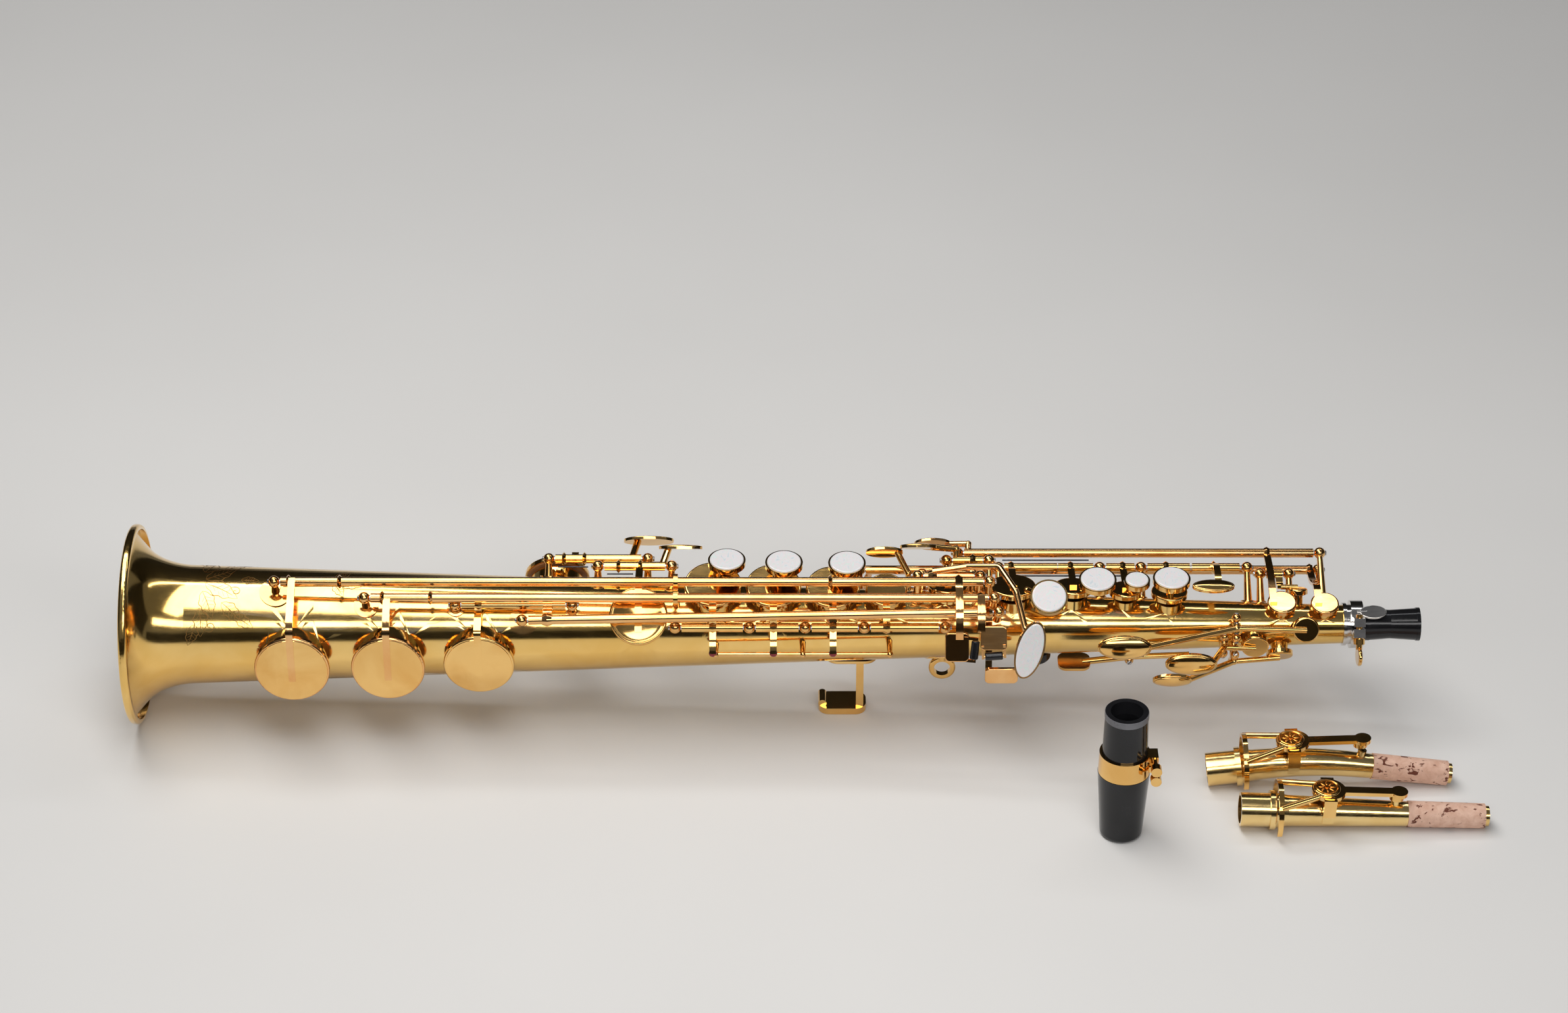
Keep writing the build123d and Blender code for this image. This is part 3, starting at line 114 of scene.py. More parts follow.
# ---- tone holes and keys -----------------------------------------------------------
# key: x and angle of its tone hole, the hole's radius, the rim's height, degrees that the key stands open
TONE_HOLES = {
    "low_bb": (76.4, 95, 14.2, 3.6, -4.4),
    "low_b": (119.7, 95, 13.8, 3.6, -5.0),
    "low_csharp": (160.6, 95, 13.2, 3.6, 0),
    "low_c": (194.0, -75, 12.0, 3.2, 7.5),
    "eb": (233.0, 47, 10.4, 2.6, 0),
    "d": (266.7, 10, 10.2, 2.8, 6),
    "e": (294.2, 10, 9.8, 2.8, 6),
    "f": (321.2, 10, 9.4, 2.8, 6),
    "f_sharp": (345.5, 12, 6.6, 2.4, 6),
    "g_sharp": (374.0, -8, 6.4, 2.4, 0),
    "g": (403.6, 0, 7.6, 2.4, -5),
    "a": (431.0, -4, 6.0, 2.4, -5),
    "bis": (455.0, 0, 4.6, 2.4, -5),
    "b": (475.0, 2, 5.4, 2.4, -5),
    "side_bb": (386.0, -78, 5.0, 2.4, 0),
    "side_c": (417.0, -118, 4.8, 2.4, 0),
    "palm_eb": (514.0, 98, 3.4, 2.4, 0),
    "palm_f": (526.0, 130, 3.2, 2.4, 0),
    "side_e": (526.4, 14, 3.8, 2.6, 0),
    "octave": (534.5, -24, 1.6, 4.0, 0),
    "palm_d": (537.0, 66, 3.2, 2.4, 0),
    "high_fs": (546.0, 14, 3.6, 2.6, 0),
}
PADDED_IN_CAD = ("low_bb", "low_b", "low_csharp", "low_c")
CROWNED_CUPS = PADDED_IN_CAD + ("eb",)
SEAT_GAP = 0.12              # pad to rim when a key is closed
PAD_PROUD = 0.5              # how far the pad stands out of its cup
CUP_THICKNESS = 2.6
SINK = 0.02                  # how far a piece is sunk into the surface under it


def over_hole(key, height):
    """A frame over a key's tone hole, at a height above its rim, turned with the key."""
    x, angle, _, rim, opened = TONE_HOLES[key]
    return swung(seat(x, angle, outer_radius(x) + rim + height), key, opened)


# ---- meshes ------------------------------------------------------------------------
def piece(name, points, faces, material, body, slot):
    """A smooth mesh piece that moves with a CAD body."""
    mesh = bpy.data.meshes.new(name)
    mesh.from_pydata(points, [], faces)
    mesh.materials.append(material)
    mesh.update()
    mesh.shade_smooth()
    obj = bpy.data.objects.new(name, mesh)
    bpy.context.scene.collection.objects.link(obj)
    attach(obj, body)
    return obj


def sharpen(obj, degrees=35):
    """Keeps edges sharper than an angle crisp in the shading."""
    mesh = obj.data
    limit = math.radians(degrees)
    faces_of = {}
    for face in mesh.polygons:
        for key in face.edge_keys:
            faces_of.setdefault(key, []).append(face)
    for edge in mesh.edges:
        pair = faces_of.get(tuple(sorted(edge.vertices)), [])
        if len(pair) == 2 and pair[0].normal.angle(pair[1].normal, 0.0) > limit:
            edge.use_edge_sharp = True


def lathe(profile, matrix, segments=40, capped=True):
    """Points and faces of a shape turned about z; profile holds (radius, height) in millimetres."""
    matrix = in_millimetres(matrix)
    points = []
    faces = []
    for radius, height in profile:
        for step in range(segments):
            turn = 2 * math.pi * step / segments
            points.append(matrix @ Vector((radius * math.cos(turn), radius * math.sin(turn), height)))
    for low in range(0, (len(profile) - 1) * segments, segments):
        for step in range(segments):
            after = (step + 1) % segments
            faces.append((low + step, low + after, low + segments + after, low + segments + step))
    if capped:
        last = (len(profile) - 1) * segments
        faces.append(tuple(reversed(range(segments))))
        faces.append(tuple(range(last, last + segments)))
    return points, faces


def add_mesh(store, mesh):
    """Adds points and faces to a growing mesh."""
    points, faces = mesh
    start = len(store[0])
    store[0].extend(points)
    store[1].extend(tuple(start + index for index in face) for face in faces)


def turned_piece(name, profile, matrix, material, body, slot, segments=40, capped=True):
    """A piece turned about z, with crisp edges."""
    obj = piece(name, *lathe(profile, matrix, segments, capped), material, body, slot)
    sharpen(obj)


def dome_profile(radius, rise, power=2.0):
    """A shallow dome's outline, from its rim to its middle."""
    rings = 10
    profile = []
    for ring in range(rings):
        share = ring / rings
        profile.append((radius * (1 - share), rise * (1 - (1 - share) ** power)))
    profile.append((0.02 * radius, rise))
    return profile


# ---- materials ---------------------------------------------------------------------
# How well a normal must match the cone's, as a dot product, to be blended into it and to be replaced by it.
NEAR_CONE = 0.975
ON_CONE = 0.98


class Finish:
    """A material under construction: object-space textures feeding one Principled shader."""

    def __init__(self, name, colour, metallic=0.0, roughness=0.4):
        self.material = bpy.data.materials.new(name)
        self.material.use_nodes = True
        self.material.diffuse_color = (*colour, 1)
        self.tree = self.material.node_tree
        self.inputs = self.tree.nodes["Principled BSDF"].inputs
        self.inputs["Base Color"].default_value = (*colour, 1)
        self.inputs["Metallic"].default_value = metallic
        self.inputs["Roughness"].default_value = roughness
        self.place = self.tree.nodes.new("ShaderNodeTexCoord").outputs["Object"]

    def node(self, kind, **settings):
        """A new node with some of its properties set."""
        made = self.tree.nodes.new(kind)
        for key, value in settings.items():
            setattr(made, key, value)
        return made

    def link(self, source, target):
        """Joins an output to an input."""
        self.tree.links.new(source, target)

    def tune(self, **values):
        """Sets shader inputs that are the same all over the surface."""
        for key, value in values.items():
            self.inputs[key.replace("_", " ")].default_value = value

    def stretched(self, scale):
        """Object coordinates multiplied axis by axis."""
        mapping = self.node("ShaderNodeMapping")
        mapping.inputs["Scale"].default_value = scale
        self.link(self.place, mapping.inputs["Vector"])
        return mapping.outputs["Vector"]

    def noise(self, scale, detail=3.0, rough=0.5, distortion=0.0, place=None):
        """A noise texture's value; scale is in features per metre."""
        made = self.node("ShaderNodeTexNoise")
        made.inputs["Scale"].default_value = scale
        made.inputs["Detail"].default_value = detail
        made.inputs["Roughness"].default_value = rough
        made.inputs["Distortion"].default_value = distortion
        self.link(place or self.place, made.inputs["Vector"])
        return made.outputs["Fac"]

    def cells(self, scale):
        """Distance to the nearest of many scattered points."""
        made = self.node("ShaderNodeTexVoronoi")
        made.inputs["Scale"].default_value = scale
        self.link(self.place, made.inputs["Vector"])
        return made.outputs["Distance"]

    def ranged(self, value, low, high, to_low, to_high):
        """A value carried from one range to another, clamped."""
        made = self.node("ShaderNodeMapRange")
        made.inputs["From Min"].default_value = low
        made.inputs["From Max"].default_value = high
        made.inputs["To Min"].default_value = to_low
        made.inputs["To Max"].default_value = to_high
        self.link(value, made.inputs["Value"])
        return made.outputs["Result"]

    def ramp(self, value, stops):
        """A colour ramp; stops are (position, colour)."""
        made = self.node("ShaderNodeValToRGB")
        elements = made.color_ramp.elements
        while len(elements) < len(stops):
            elements.new(0.5)
        for element, (position, colour) in zip(elements, stops):
            element.position = position
            element.color = (*colour, 1)
        self.link(value, made.inputs["Fac"])
        return made.outputs["Color"]

    def coloured(self, value, stops):
        """Base colour from a ramp."""
        self.link(self.ramp(value, stops), self.inputs["Base Color"])

    def roughened(self, value, smoothest, roughest):
        """Roughness that follows a noise."""
        self.link(self.ranged(value, 0.3, 0.7, smoothest, roughest), self.inputs["Roughness"])

    def bump(self, value, height, strength=1.0, under=None):
        """Relief of a height in metres, on the mesh's own normal or on the one given."""
        made = self.node("ShaderNodeBump")
        made.inputs["Strength"].default_value = strength
        made.inputs["Distance"].default_value = height
        self.link(value, made.inputs["Height"])
        if under:
            self.link(under, made.inputs["Normal"])
        self.link(made.outputs["Normal"], self.inputs["Normal"])

    def vector_maths(self, operation, first, second=None):
        """A vector operation on a socket and, where it takes two, a socket or a plain vector."""
        made = self.node("ShaderNodeVectorMath", operation=operation)
        self.link(first, made.inputs[0])
        if isinstance(second, (tuple, Vector)):
            made.inputs[1].default_value = second
        elif second is not None:
            self.link(second, made.inputs[1])
        return made.outputs["Value" if operation == "DOT_PRODUCT" else "Vector"]

    def cone_normal(self):
        """The exact normal of the body's cone where the surface is the cone, and the mesh's elsewhere."""
        from_bore = self.vector_maths("SUBTRACT", self.place, BORE)
        across = self.vector_maths("NORMALIZE", self.vector_maths("MULTIPLY", from_bore, (0, 1, 1)))
        exact = self.vector_maths("NORMALIZE", self.vector_maths("ADD", across, (CONE_SLOPE, 0, 0)))
        geometry = self.node("ShaderNodeNewGeometry")
        likeness = self.vector_maths("DOT_PRODUCT", exact, geometry.outputs["True Normal"])
        mix = self.node("ShaderNodeMix", data_type="VECTOR")
        factor, first, second = mix.inputs[0], mix.inputs[4], mix.inputs[5]
        self.link(self.ranged(likeness, NEAR_CONE, ON_CONE, 0.0, 1.0), factor)
        self.link(geometry.outputs["Normal"], first)
        self.link(exact, second)
        return mix.outputs[1]


def metal(name, bright, deep, roughness, coat=0.0, grain=0.00004, brushed=None, conical=False):
    """A polished metal with slow changes of tone, faint wipe marks and a little unevenness."""
    finish = Finish(name, bright, 1.0, roughness)
    finish.coloured(finish.noise(38, 4, 0.55, 0.6), [(0.36, deep), (0.62, bright)])
    wipe_marks = finish.noise(900, 5, 0.7, place=finish.stretched((0.12, 1.0, 1.0)))
    finish.roughened(wipe_marks, roughness * 0.75, roughness * 1.5)
    if brushed:
        lines = finish.noise(1500, 4, 0.7, place=finish.stretched(brushed))
        finish.bump(lines, 0.00004, 0.5)
    else:
        under = finish.cone_normal() if conical else None
        finish.bump(finish.noise(160, 2, 0.5), grain, 0.35, under)
    if coat:
        finish.tune(Coat_Weight=coat, Coat_Roughness=0.04)
    return finish.material


def mother_of_pearl():
    """White shell with cloudy layers of blue, rose and green."""
    finish = Finish("mother_of_pearl", (0.86, 0.88, 0.92), 0.0, 0.16)
    layers = finish.noise(210, 5, 0.6, 3.2, place=finish.stretched((1.0, 0.55, 0.8)))
    finish.coloured(layers, [
        (0.28, (0.66, 0.74, 0.80)), (0.42, (0.88, 0.90, 0.91)), (0.52, (0.93, 0.84, 0.86)),
        (0.62, (0.80, 0.90, 0.86)), (0.76, (0.95, 0.95, 0.97)),
    ])
    finish.roughened(layers, 0.10, 0.26)
    finish.bump(layers, 0.00005, 0.25)
    finish.tune(Coat_Weight=0.8, Coat_Roughness=0.03, Sheen_Weight=0.15)
    return finish.material


def pad_leather():
    """Tan leather with fine pores."""
    finish = Finish("pad_leather", (0.33, 0.16, 0.07), 0.0, 0.5)
    finish.coloured(finish.noise(90, 5, 0.6), [(0.32, (0.22, 0.10, 0.045)), (0.68, (0.42, 0.21, 0.10))])
    finish.bump(finish.cells(2600), 0.00006, 0.5)
    finish.tune(Coat_Weight=0.15, Coat_Roughness=0.3)
    return finish.material


def red_felt():
    """Dark red felt with a nap of short fibres."""
    finish = Finish("red_felt", (0.32, 0.02, 0.025), 0.0, 0.95)
    fibres = finish.noise(3200, 6, 0.75)
    finish.coloured(fibres, [(0.3, (0.18, 0.008, 0.012)), (0.7, (0.44, 0.03, 0.04))])
    finish.bump(fibres, 0.0002, 0.8)
    finish.tune(Sheen_Weight=0.5, Sheen_Roughness=0.6)
    return finish.material


def cork():
    """Pinkish cork with dark pitted flecks."""
    finish = Finish("cork", (0.80, 0.50, 0.36), 0.0, 0.75)
    grain = finish.noise(260, 6, 0.65, 0.4)
    flecks = finish.noise(330, 3, 0.6, 0.8, place=finish.stretched((0.7, 1.0, 1.0)))
    pale = finish.ramp(grain, [(0.3, (0.66, 0.38, 0.27)), (0.7, (0.86, 0.58, 0.45))])
    dark = finish.ramp(flecks, [(0.60, (1, 1, 1)), (0.63, (0.20, 0.08, 0.05))])
    mix = finish.node("ShaderNodeMix", data_type="RGBA", blend_type="MULTIPLY")
    mix.inputs["Factor"].default_value = 1.0
    first, second, result = mix.inputs[6], mix.inputs[7], mix.outputs[2]
    finish.link(pale, first)
    finish.link(dark, second)
    finish.link(result, finish.inputs["Base Color"])
    finish.bump(finish.ranged(flecks, 0.59, 0.66, 1.0, 0.0), 0.0003, 0.6)
    return finish.material


def hard_resin(name, colour, roughness):
    """Polished hard rubber or plastic with a faint haze."""
    finish = Finish(name, colour, 0.0, roughness)
    finish.roughened(finish.noise(420, 5, 0.65), roughness * 0.6, roughness * 1.6)
    lifted = tuple(channel * 1.9 for channel in colour)
    finish.coloured(finish.noise(60, 3, 0.5), [(0.35, colour), (0.7, lifted)])
    finish.bump(finish.noise(500, 2, 0.5), 0.000015, 0.3)
    finish.tune(Specular_IOR_Level=0.36, Coat_Weight=0.08, Coat_Roughness=0.05)
    return finish.material


body_brass = {
    "bright": (0.93, 0.63, 0.22),
    "deep": (0.86, 0.54, 0.15),
    "roughness": 0.11,
    "coat": 0.3,
    "grain": 0.00005,
}
flare_brass = metal("lacquered_brass", **body_brass)
tube_brass = metal("tube_brass", **body_brass, conical=True)
key_brass = metal("key_brass", (0.94, 0.60, 0.21), (0.84, 0.48, 0.14), 0.08, coat=0.3)
rod_brass = metal("rod_brass", (0.92, 0.54, 0.22), (0.82, 0.41, 0.13), 0.09, coat=0.3, grain=0.00003)
post_brass = metal("post_brass", (0.92, 0.54, 0.20), (0.80, 0.42, 0.12), 0.10, coat=0.3, grain=0.00003)
drawn_brass = metal("drawn_brass", (0.92, 0.68, 0.30), (0.84, 0.57, 0.21), 0.14, coat=0.2,
                    brushed=(0.02, 1, 1))
cut_brass = metal("cut_brass", (0.34, 0.19, 0.06), (0.24, 0.12, 0.035), 0.42, grain=0.0001)
badge_gold = metal("badge_gold", (0.95, 0.46, 0.09), (0.84, 0.33, 0.05), 0.18, coat=0.4, grain=0.0001)
nickel = metal("nickel_silver", (0.80, 0.77, 0.73), (0.66, 0.63, 0.60), 0.12, brushed=(1, 0.05, 0.05))
steel = metal("pivot_steel", (0.62, 0.60, 0.58), (0.46, 0.46, 0.47), 0.20, brushed=(1, 0.1, 0.1))
blue_steel = metal("blued_steel", (0.055, 0.06, 0.085), (0.03, 0.035, 0.05), 0.2, grain=0.00002)
shell = mother_of_pearl()
leather = pad_leather()
felt = red_felt()
cork_brown = cork()
black_resin = hard_resin("black_resin", (0.008, 0.008, 0.009), 0.13)
grey_resin = hard_resin("grey_resin", (0.11, 0.11, 0.12), 0.35)

# Finishes by the end of a node's name or by its whole name; every other node is key brass.
FINISH_BY_ENDING = {"_pearl": shell, "_pad": leather, "_cork": cork_brown, "_roller": black_resin}
FINISH_BY_NAME = {
    "body_tube": tube_brass, "bell_flare": flare_brass, "bell_rim": flare_brass,
    "key_posts": post_brass, "neck_receiver": nickel, "hinge_rods": steel, "needle_springs": blue_steel,
    "end_plug": black_resin, "thumb_rest": black_resin, "mouthpiece": black_resin,
    "straight_neck": drawn_brass, "curved_neck": drawn_brass,
    "low_bb_key": rod_brass, "low_b_key": rod_brass, "csharp_lever": rod_brass,
    "g_sharp_lever": rod_brass, "side_e_key": rod_brass, "high_fs_key": rod_brass,
}


def paint_nodes():
    """Gives every CAD node its material."""
    for name, obj in frame["nodes"].items():
        finish = FINISH_BY_NAME.get(name, key_brass)
        for ending, choice in FINISH_BY_ENDING.items():
            if name.endswith(ending):
                finish = choice
        obj.data.materials.clear()
        obj.data.materials.append(finish)


# ---- pads and cups -----------------------------------------------------------------
PAD_MARGIN = 2.05            # pad radius beyond the tone hole's own radius
PAD_THICKNESS = 2.35
CUP_INSET = 2.0              # crown's radius beyond the tone hole's own radius
CUP_STEP = 0.36              # height of the step round the crown
CUP_RISE = 0.8


def make_pads():
    """Leather pads under the cups that hold none in the part."""
    for key in TONE_HOLES:
        if key in PADDED_IN_CAD:
            continue
        radius = TONE_HOLES[key][2] + PAD_MARGIN
        profile = [
            (radius - 0.35, 0.0), (radius - 0.08, 0.12), (radius, 0.4), (radius, PAD_THICKNESS - 0.3),
            (radius - 0.2, PAD_THICKNESS),
        ]
        turned_piece(key + "_key_pad", profile, over_hole(key, SEAT_GAP), leather, key, "pad_leather")


def make_cup_crowns():
    """The crowned tops of the large pad cups."""
    for key in CROWNED_CUPS:
        radius = TONE_HOLES[key][2] + CUP_INSET
        profile = [(radius, 0), (radius - 0.12, CUP_STEP - SINK), (radius - 0.9, CUP_STEP)]
        for ring, height in dome_profile(radius - 1.1, CUP_RISE):
            profile.append((ring, height + CUP_STEP))
        matrix = over_hole(key, SEAT_GAP + PAD_PROUD + CUP_THICKNESS - SINK)
        turned_piece(key + "_cup_dome", profile, matrix, key_brass, key, "lacquered_brass")


# ---- finger touches ----------------------------------------------------------------
# body: x and angle of the touch, radius at its upper face, half length, half width, rise of its crown
TOUCHES = {
    "palm_d": (453.0, 75, 32.8, 12.3, 5.6, 1.5),
    "palm_eb": (483.3, 89, 33.8, 11.8, 5.6, 1.5),
    "palm_f": (476.0, 118, 29.8, 9.0, 5.0, 1.3),
    "side_bb": (361.0, -40, 36.5, 8.6, 4.6, 0.9),
    "side_c": (345.5, -60, 37.7, 8.6, 4.6, 0.9),
    "side_e": (368.0, -64, 43.5, 8.6, 4.6, 0.9),
    "high_fs": (330.0, -96, 38.5, 8.6, 4.6, 0.9),
    "low_c": (236.5, -56, 40.5, 11.5, 6.0, 0.8),
    "eb": (251.5, -36, 35.9, 10.0, 5.4, 0.8),
    "front_f": (494.5, 10, 25.0, 9.6, 3.9, 0.8),
}
TOUCH_EDGE = 0.42            # flat border left round a crown


def make_touch_crowns():
    """Rounded tops of the finger touches, which are spoon-shaped rather than flat."""
    for body, (x, angle, radius, half_length, half_width, rise) in TOUCHES.items():
        opened = TONE_HOLES[body][4] if body in TONE_HOLES else 0
        matrix = swung(seat(x, angle, radius - SINK), body, opened)
        oval = Matrix.Diagonal((half_length - TOUCH_EDGE, half_width - TOUCH_EDGE, 1, 1))
        mesh = lathe(dome_profile(1, rise, power=2.4), matrix @ oval, 48)
        piece(body + "_dome", *mesh, key_brass, body, "lacquered_brass")


# ---- pivot screws and felts --------------------------------------------------------
SCREW_RADIUS = 1.15
SCREW_HEIGHT = 1.45
SHORT_SCREW_HEIGHT = 0.75    # on the small posts of the palm keys
SHORT_ROD_REACH = 7 * MM     # half the length under which a rod has them
SCREW_SIDE = 0.75            # height of a head's straight side, as a share of its own
SCREW_FACE = 0.86            # radius of a head's top face, as a share of its own
# No slot is cut: a flat dark quad of this width and reach, lifted this far over the head, is painted shade.
SLOT_WIDTH = 0.42
SLOT_REACH = 0.84            # half the slot's length, as a share of the head's radius
SLOT_LIFT = 0.01
FELT_ANGLE = 83.4            # on the upper side of the stop rail
FELT_RADIUS = 27.9


def middle_of(points):
    """The mean of some points."""
    return sum(points, Vector()) / len(points)


def loose_parts(mesh):
    """The points of each separate part of a mesh."""
    owner = list(range(len(mesh.vertices)))

    def root(index):
        while owner[index] != index:
            owner[index] = owner[owner[index]]
            index = owner[index]
        return index

    first_at = {}
    for vertex in mesh.vertices:
        place = tuple(round(value, 6) for value in vertex.co)
        owner[root(vertex.index)] = root(first_at.setdefault(place, vertex.index))
    for edge in mesh.edges:
        owner[root(edge.vertices[0])] = root(edge.vertices[1])
    parts = {}
    for vertex in mesh.vertices:
        parts.setdefault(root(vertex.index), []).append(vertex.co.copy())
    return parts.values()


def rod_ends():
    """Each end of every pivot rod: its middle, the direction out of it and its screw head's height."""
    ends = []
    for points in loose_parts(frame["nodes"]["hinge_rods"].data):
        centre = middle_of(points)
        to_rim = max((point - centre for point in points), key=lambda offset: offset.length)
        ahead = middle_of([point for point in points if (point - centre).dot(to_rim) > 0])
        behind = middle_of([point for point in points if (point - centre).dot(to_rim) <= 0])
        axis = (ahead - behind).normalized()
        reach = max((point - centre).dot(axis) for point in points)
        height = SHORT_SCREW_HEIGHT if reach < SHORT_ROD_REACH else SCREW_HEIGHT
        ends.append((centre - axis * reach, -axis, height))
        ends.append((centre + axis * reach, axis, height))
    return ends


def make_pivot_screws():
    """The slotted pivot screws in the outer sides of the posts; their slots are painted shade, as flat dark
    quads.
    """
    heads = ([], [])
    slot_shades = ([], [])
    for origin, direction, height in rod_ends():
        matrix = placed(origin, direction.orthogonal().normalized(), direction)
        side = (SCREW_RADIUS, height * SCREW_SIDE)
        outline = [(SCREW_RADIUS, 0), side, (SCREW_RADIUS * SCREW_FACE, height)]
        add_mesh(heads, lathe(outline, matrix, 20))
        # The slot is painted shade: a near-black quad laid just over the head where the groove would be.
        long = SCREW_RADIUS * SLOT_REACH
        wide = SLOT_WIDTH / 2
        corners = []
        for u, v in ((-long, -wide), (long, -wide), (long, wide), (-long, wide)):
            corners.append(in_millimetres(matrix) @ Vector((u, v, height + SLOT_LIFT)))
        add_mesh(slot_shades, (corners, [(0, 1, 2, 3)]))
    sharpen(piece("pivot_screws", *heads, steel, "root", "spring_steel"))
    # Painted shade of the slots, in the dark blued steel of the springs.
    piece("pivot_screw_slot_shades", *slot_shades, blue_steel, "root", "spring_steel")


def make_felts():
    """Felts on the stop rail under the feet of the right-hand keys."""
    for key in ("d", "e", "f"):
        x = TONE_HOLES[key][0]
        profile = [(1.7, 0.0), (1.8, 0.15), (1.75, 0.5), (1.5, 0.6)]
        matrix = seat(x, FELT_ANGLE, FELT_RADIUS)
        turned_piece(key + "_foot_felt", profile, matrix, felt, "root", "pad_leather")


# ---- engraving ---------------------------------------------------------------------
def leaf(length, width, bend):
    """Outline, middle vein and side veins of one leaf, as lines of (u, v) points."""
    steps = 18
    upper = []
    lower = []
    vein = []
    for step in range(steps + 1):
        share = step / steps
        wave = 1 + 0.12 * math.sin(share * 22)
        half = width * math.sin(math.pi * share ** 0.8) * wave
        lift = bend * share * share
        upper.append((length * share, lift + half))
        lower.append((length * share, lift - half))
        if share < 0.85:
            vein.append((length * share, lift))
    lines = [upper, lower, vein]
    for share in (0.22, 0.36, 0.50, 0.64):
        lift = bend * share * share
        half = width * math.sin(math.pi * share ** 0.8)
        for side in (-1, 1):
            tip = (length * (share + 0.13), lift + side * half * 0.72)
            lines.append([(length * share, lift), tip])
    return lines


def scroll(size, turns):
    """A small spiral tendril."""
    steps = 30
    line = []
    for step in range(steps + 1):
        share = step / steps
        radius = size * (1 - share) ** 1.2
        turn = 2 * math.pi * turns * share
        line.append((size - radius * math.cos(turn), radius * math.sin(turn)))
    return [line]


# Each is x, angle, heading in degrees and what is cut there.
ENGRAVING = [
    (36, 12, 20, leaf(17, 4.2, 2.5)), (36, 6, -28, leaf(16, 4.0, -2.5)),
    (35, 22, 62, leaf(14, 3.6, 2.0)), (35, -6, -66, leaf(14, 3.6, -2.0)),
    (34, 40, 78, leaf(13, 3.2, 2.0)), (34, -26, -80, leaf(12, 3.0, -2.0)),
    (44, 34, 38, leaf(13, 3.2, 2.0)), (44, -14, -42, leaf(13, 3.2, -2.0)),
    (50, 48, 24, leaf(10, 2.6, 1.5)), (50, -32, -24, leaf(10, 2.6, -1.5)),
    (52, 6, 2, leaf(8, 2.4, 0.0)), (32, 56, 100, leaf(10, 2.6, 1.5)),
    (36, 54, 30, scroll(3.4, 1.6)), (38, -40, -30, scroll(3.4, 1.6)), (47, 20, 10, scroll(3.0, -1.5)),
    (96, 6, 8, leaf(11, 2.8, 1.0)), (94, 0, -34, leaf(9, 2.4, -1.0)), (94, 8, 52, leaf(9, 2.4, 1.0)),
]
CUT_HALF_WIDTH = 0.17
CUT_LIFT = 0.03              # above the surface, so that the cut shows


def engraved_line(line, x, angle, heading):
    """A narrow ribbon on the body's surface along a line of (u, v) points; it thins to its ends."""
    turn = math.radians(heading)
    places = []
    for u, v in line:
        here = x + u * math.cos(turn) - v * math.sin(turn)
        around = u * math.sin(turn) + v * math.cos(turn)
        there = angle + math.degrees(around / outer_radius(x))
        places.append((spot(here, there, outer_radius(here) + CUT_LIFT), outward(there)))
    points = []
    faces = []
    last = len(places) - 1
    for index, (place, out) in enumerate(places):
        ahead = places[min(index + 1, last)][0] - places[max(index - 1, 0)][0]
        side = out.cross(ahead).normalized()
        taper = 0.35 + 0.65 * math.sin(math.pi * index / last)
        half = CUT_HALF_WIDTH * taper * MM
        points += [place - side * half, place + side * half]
        if index:
            right = 2 * index
            faces.append((right - 2, right, right + 1, right - 1))
    return points, faces


def make_engraving():
    """Leaves and scrolls on the bell and beside the first keys."""
    cut = ([], [])
    for x, angle, heading, lines in ENGRAVING:
        for line in lines:
            add_mesh(cut, engraved_line(line, x, angle, heading))
    piece("bell_engraving", *cut, cut_brass, "root", "lacquered_brass")


# ---- neck badges and mouthpiece ring -----------------------------------------------
# neck: downward slope of its axis at the key's pivot, in degrees
NECK_SLOPES = {"straight_neck": 1.98, "curved_neck": -2.07}
BADGE_RISE = 7.5             # badge face above the pivot
BADGE_BACK = 1.0             # badge's middle behind the pivot
BADGE_RADIUS = 5.3
PETALS = 8
RING_DEPTH = 3.2             # grey ring, down from the end of the shank


def make_badges():
    """A plain round boss with a rosette on each neck key."""
    rim = [
        (BADGE_RADIUS, 0), (BADGE_RADIUS, 0.35), (BADGE_RADIUS - 0.35, 0.5), (BADGE_RADIUS - 0.8, 0.3),
        (BADGE_RADIUS - 0.9, 0.12), (0.9, 0.12), (0.8, 0.42), (0.2, 0.5),
    ]
    petal = Matrix.Translation((2.5 * MM, 0, 0.1 * MM)) @ Matrix.Diagonal((1.5, 0.6, 1, 1))
    for neck, slope in NECK_SLOPES.items():
        body = neck + "_octave"
        tilt = math.radians(slope)
        along = Vector((math.cos(tilt), 0, -math.sin(tilt)))
        out = Vector((math.sin(tilt), 0, math.cos(tilt)))
        origin = Vector(joint_of[body]["pos_m"]) + (out * BADGE_RISE - along * BADGE_BACK) * MM
        matrix = placed(origin, along, out)
        turned_piece(neck + "_badge", rim, matrix, badge_gold, body, "lacquered_brass")
        rosette = ([], [])
        for step in range(PETALS):
            turn = Matrix.Rotation(2 * math.pi * step / PETALS, 4, "Z")
            add_mesh(rosette, lathe([(1, 0), (0.8, 0.18), (0.3, 0.3)], matrix @ turn @ petal, 16))
        piece(neck + "_rosette", *rosette, badge_gold, body, "lacquered_brass")


def make_shank_ring():
    """The grey ring round the open end of the mouthpiece."""
    low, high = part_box("mouthpiece")
    matrix = Matrix.Translation(((low.x + high.x) / 2, (low.y + high.y) / 2, high.z - RING_DEPTH * MM))
    top = RING_DEPTH - SINK
    profile = [(7.3, top), (9.62, top), (9.75, top - 0.18), (9.78, 0.2), (9.6, 0.0)]
    turned_piece("mouthpiece_shank_ring", profile, matrix, grey_resin, "mouthpiece", "black_resin", 64, False)


paint_nodes()
make_pads()
make_cup_crowns()
make_pivot_screws()
make_felts()
make_touch_crowns()
make_engraving()
make_badges()
make_shank_ring()

# ---- studio ------------------------------------------------------------------------
AIM = Vector((0, 0.02, 0.05))
FLOOR_SIZE = 7.0
FLOOR_GAP = 0.2 * MM
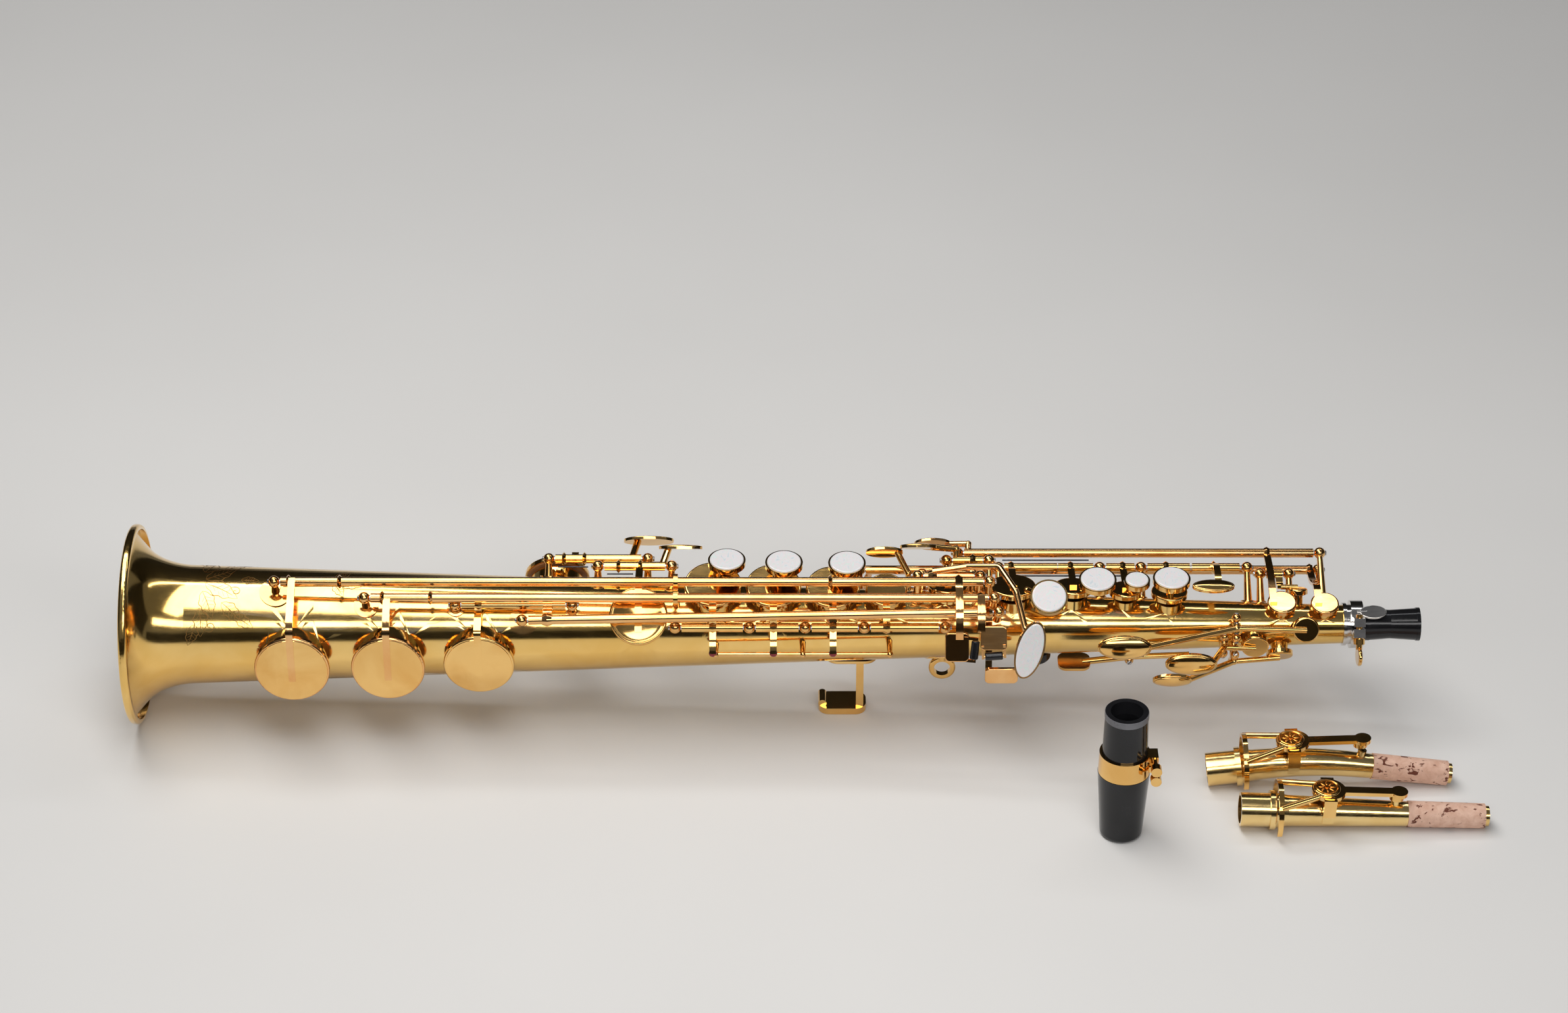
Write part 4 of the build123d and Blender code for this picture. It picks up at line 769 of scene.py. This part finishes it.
# name: place and size of a dark panel out of view, which the polished metal reflects
FLAGS = {
    "flag_front": ((0.0, -1.25, 0.25), (3.0, 0.42)),
    "flag_back": ((0.0, 1.30, 0.80), (3.4, 1.30)),
    "flag_left": ((-1.45, 0.0, 0.60), (1.8, 1.0)),
    "flag_right": ((1.45, 0.0, 0.60), (1.8, 1.0)),
}
# name: place, size, power in watts and colour
LIGHTS = {
    "key_light": ((-0.25, -0.10, 1.35), (1.9, 0.62), 12.5, (1.0, 0.985, 0.96)),
    "front_light": ((0.30, -1.30, 1.05), (1.5, 0.34), 6.0, (1.0, 0.99, 0.98)),
    "back_strip": ((0.1, 0.75, 1.45), (1.9, 0.10), 3.0, (0.96, 0.98, 1.0)),
}
WORLD_COLOUR = (0.93, 0.95, 1.0)
WORLD_STRENGTH = 0.10


def stage_plane(name, location, size, material):
    """A flat rectangle that isn't part of the object, facing up."""
    half_x, half_y = size[0] / 2, size[1] / 2
    mesh = bpy.data.meshes.new(name)
    corners = [(-half_x, -half_y, 0), (half_x, -half_y, 0), (half_x, half_y, 0), (-half_x, half_y, 0)]
    mesh.from_pydata(corners, [], [(0, 1, 2, 3)])
    mesh.materials.append(material)
    obj = bpy.data.objects.new(name, mesh)
    bpy.context.scene.collection.objects.link(obj)
    obj.location = location
    return obj


def floor_finish():
    """Pale matt paper with slow changes of tone."""
    finish = Finish("pale_floor", (0.80, 0.79, 0.77), 0.0, 0.6)
    finish.coloured(finish.noise(3), [(0.3, (0.78, 0.77, 0.755)), (0.7, (0.82, 0.81, 0.795))])
    return finish.material


def flag_finish():
    """Matt black cloth."""
    finish = Finish("dark_flag", (0.015, 0.014, 0.013), 0.0, 0.9)
    finish.roughened(finish.noise(4), 0.85, 0.95)
    return finish.material


def make_stage():
    """The floor, and the panels that only reflections see."""
    floor_height = cad_box[0].z - FLOOR_GAP
    stage_plane("floor", (0, 0, floor_height), (FLOOR_SIZE, FLOOR_SIZE), floor_finish())
    cloth = flag_finish()
    for name, (location, size) in FLAGS.items():
        flag = stage_plane(name, location, size, cloth)
        flag.rotation_euler = (AIM - flag.location).to_track_quat("Z", "Y").to_euler()
        flag.visible_camera = False


def make_lights():
    """Soft lights above, in front and behind, and a dim world."""
    for name, (location, size, power, colour) in LIGHTS.items():
        data = bpy.data.lights.new(name, "AREA")
        data.shape = "RECTANGLE"
        data.size, data.size_y = size
        data.energy = power
        data.color = colour
        light = bpy.data.objects.new(name, data)
        bpy.context.scene.collection.objects.link(light)
        light.location = location
        light.rotation_euler = (AIM - light.location).to_track_quat("-Z", "Y").to_euler()
    world = bpy.data.worlds.new("studio")
    world.use_nodes = True
    background = world.node_tree.nodes["Background"].inputs
    background["Color"].default_value = (*WORLD_COLOUR, 1)
    background["Strength"].default_value = WORLD_STRENGTH
    bpy.context.scene.world = world


# ---- camera ------------------------------------------------------------------------
CAMERA_ELEVATION = 33.0
CAMERA_DISTANCE = 1.9
CAMERA_LENS = 95.0
SENSOR_WIDTH = 36.0
VIEW_CENTRE_X = 0.299        # along the bore, in metres
BORE_BELOW_CENTRE = 0.054    # how far the body lies below the middle of the picture
EXPOSURE = 0.22


def make_camera():
    """The camera looks along +Y and down."""
    tip = math.radians(CAMERA_ELEVATION)
    up = Vector((0, math.sin(tip), math.cos(tip)))
    back = Vector((0, -math.cos(tip), math.sin(tip)))
    middle = Vector((BORE.x + VIEW_CENTRE_X, BORE.y, BORE.z)) + up * BORE_BELOW_CENTRE
    data = bpy.data.cameras.new("camera")
    data.lens = CAMERA_LENS
    data.sensor_width = SENSOR_WIDTH
    camera = bpy.data.objects.new("camera", data)
    bpy.context.scene.collection.objects.link(camera)
    camera.location = middle + back * CAMERA_DISTANCE
    camera.rotation_euler = (-back).to_track_quat("-Z", "Y").to_euler()
    scene = bpy.context.scene
    scene.camera = camera
    scene.view_settings.view_transform = "Standard"
    scene.view_settings.exposure = EXPOSURE


make_stage()
make_lights()
make_camera()
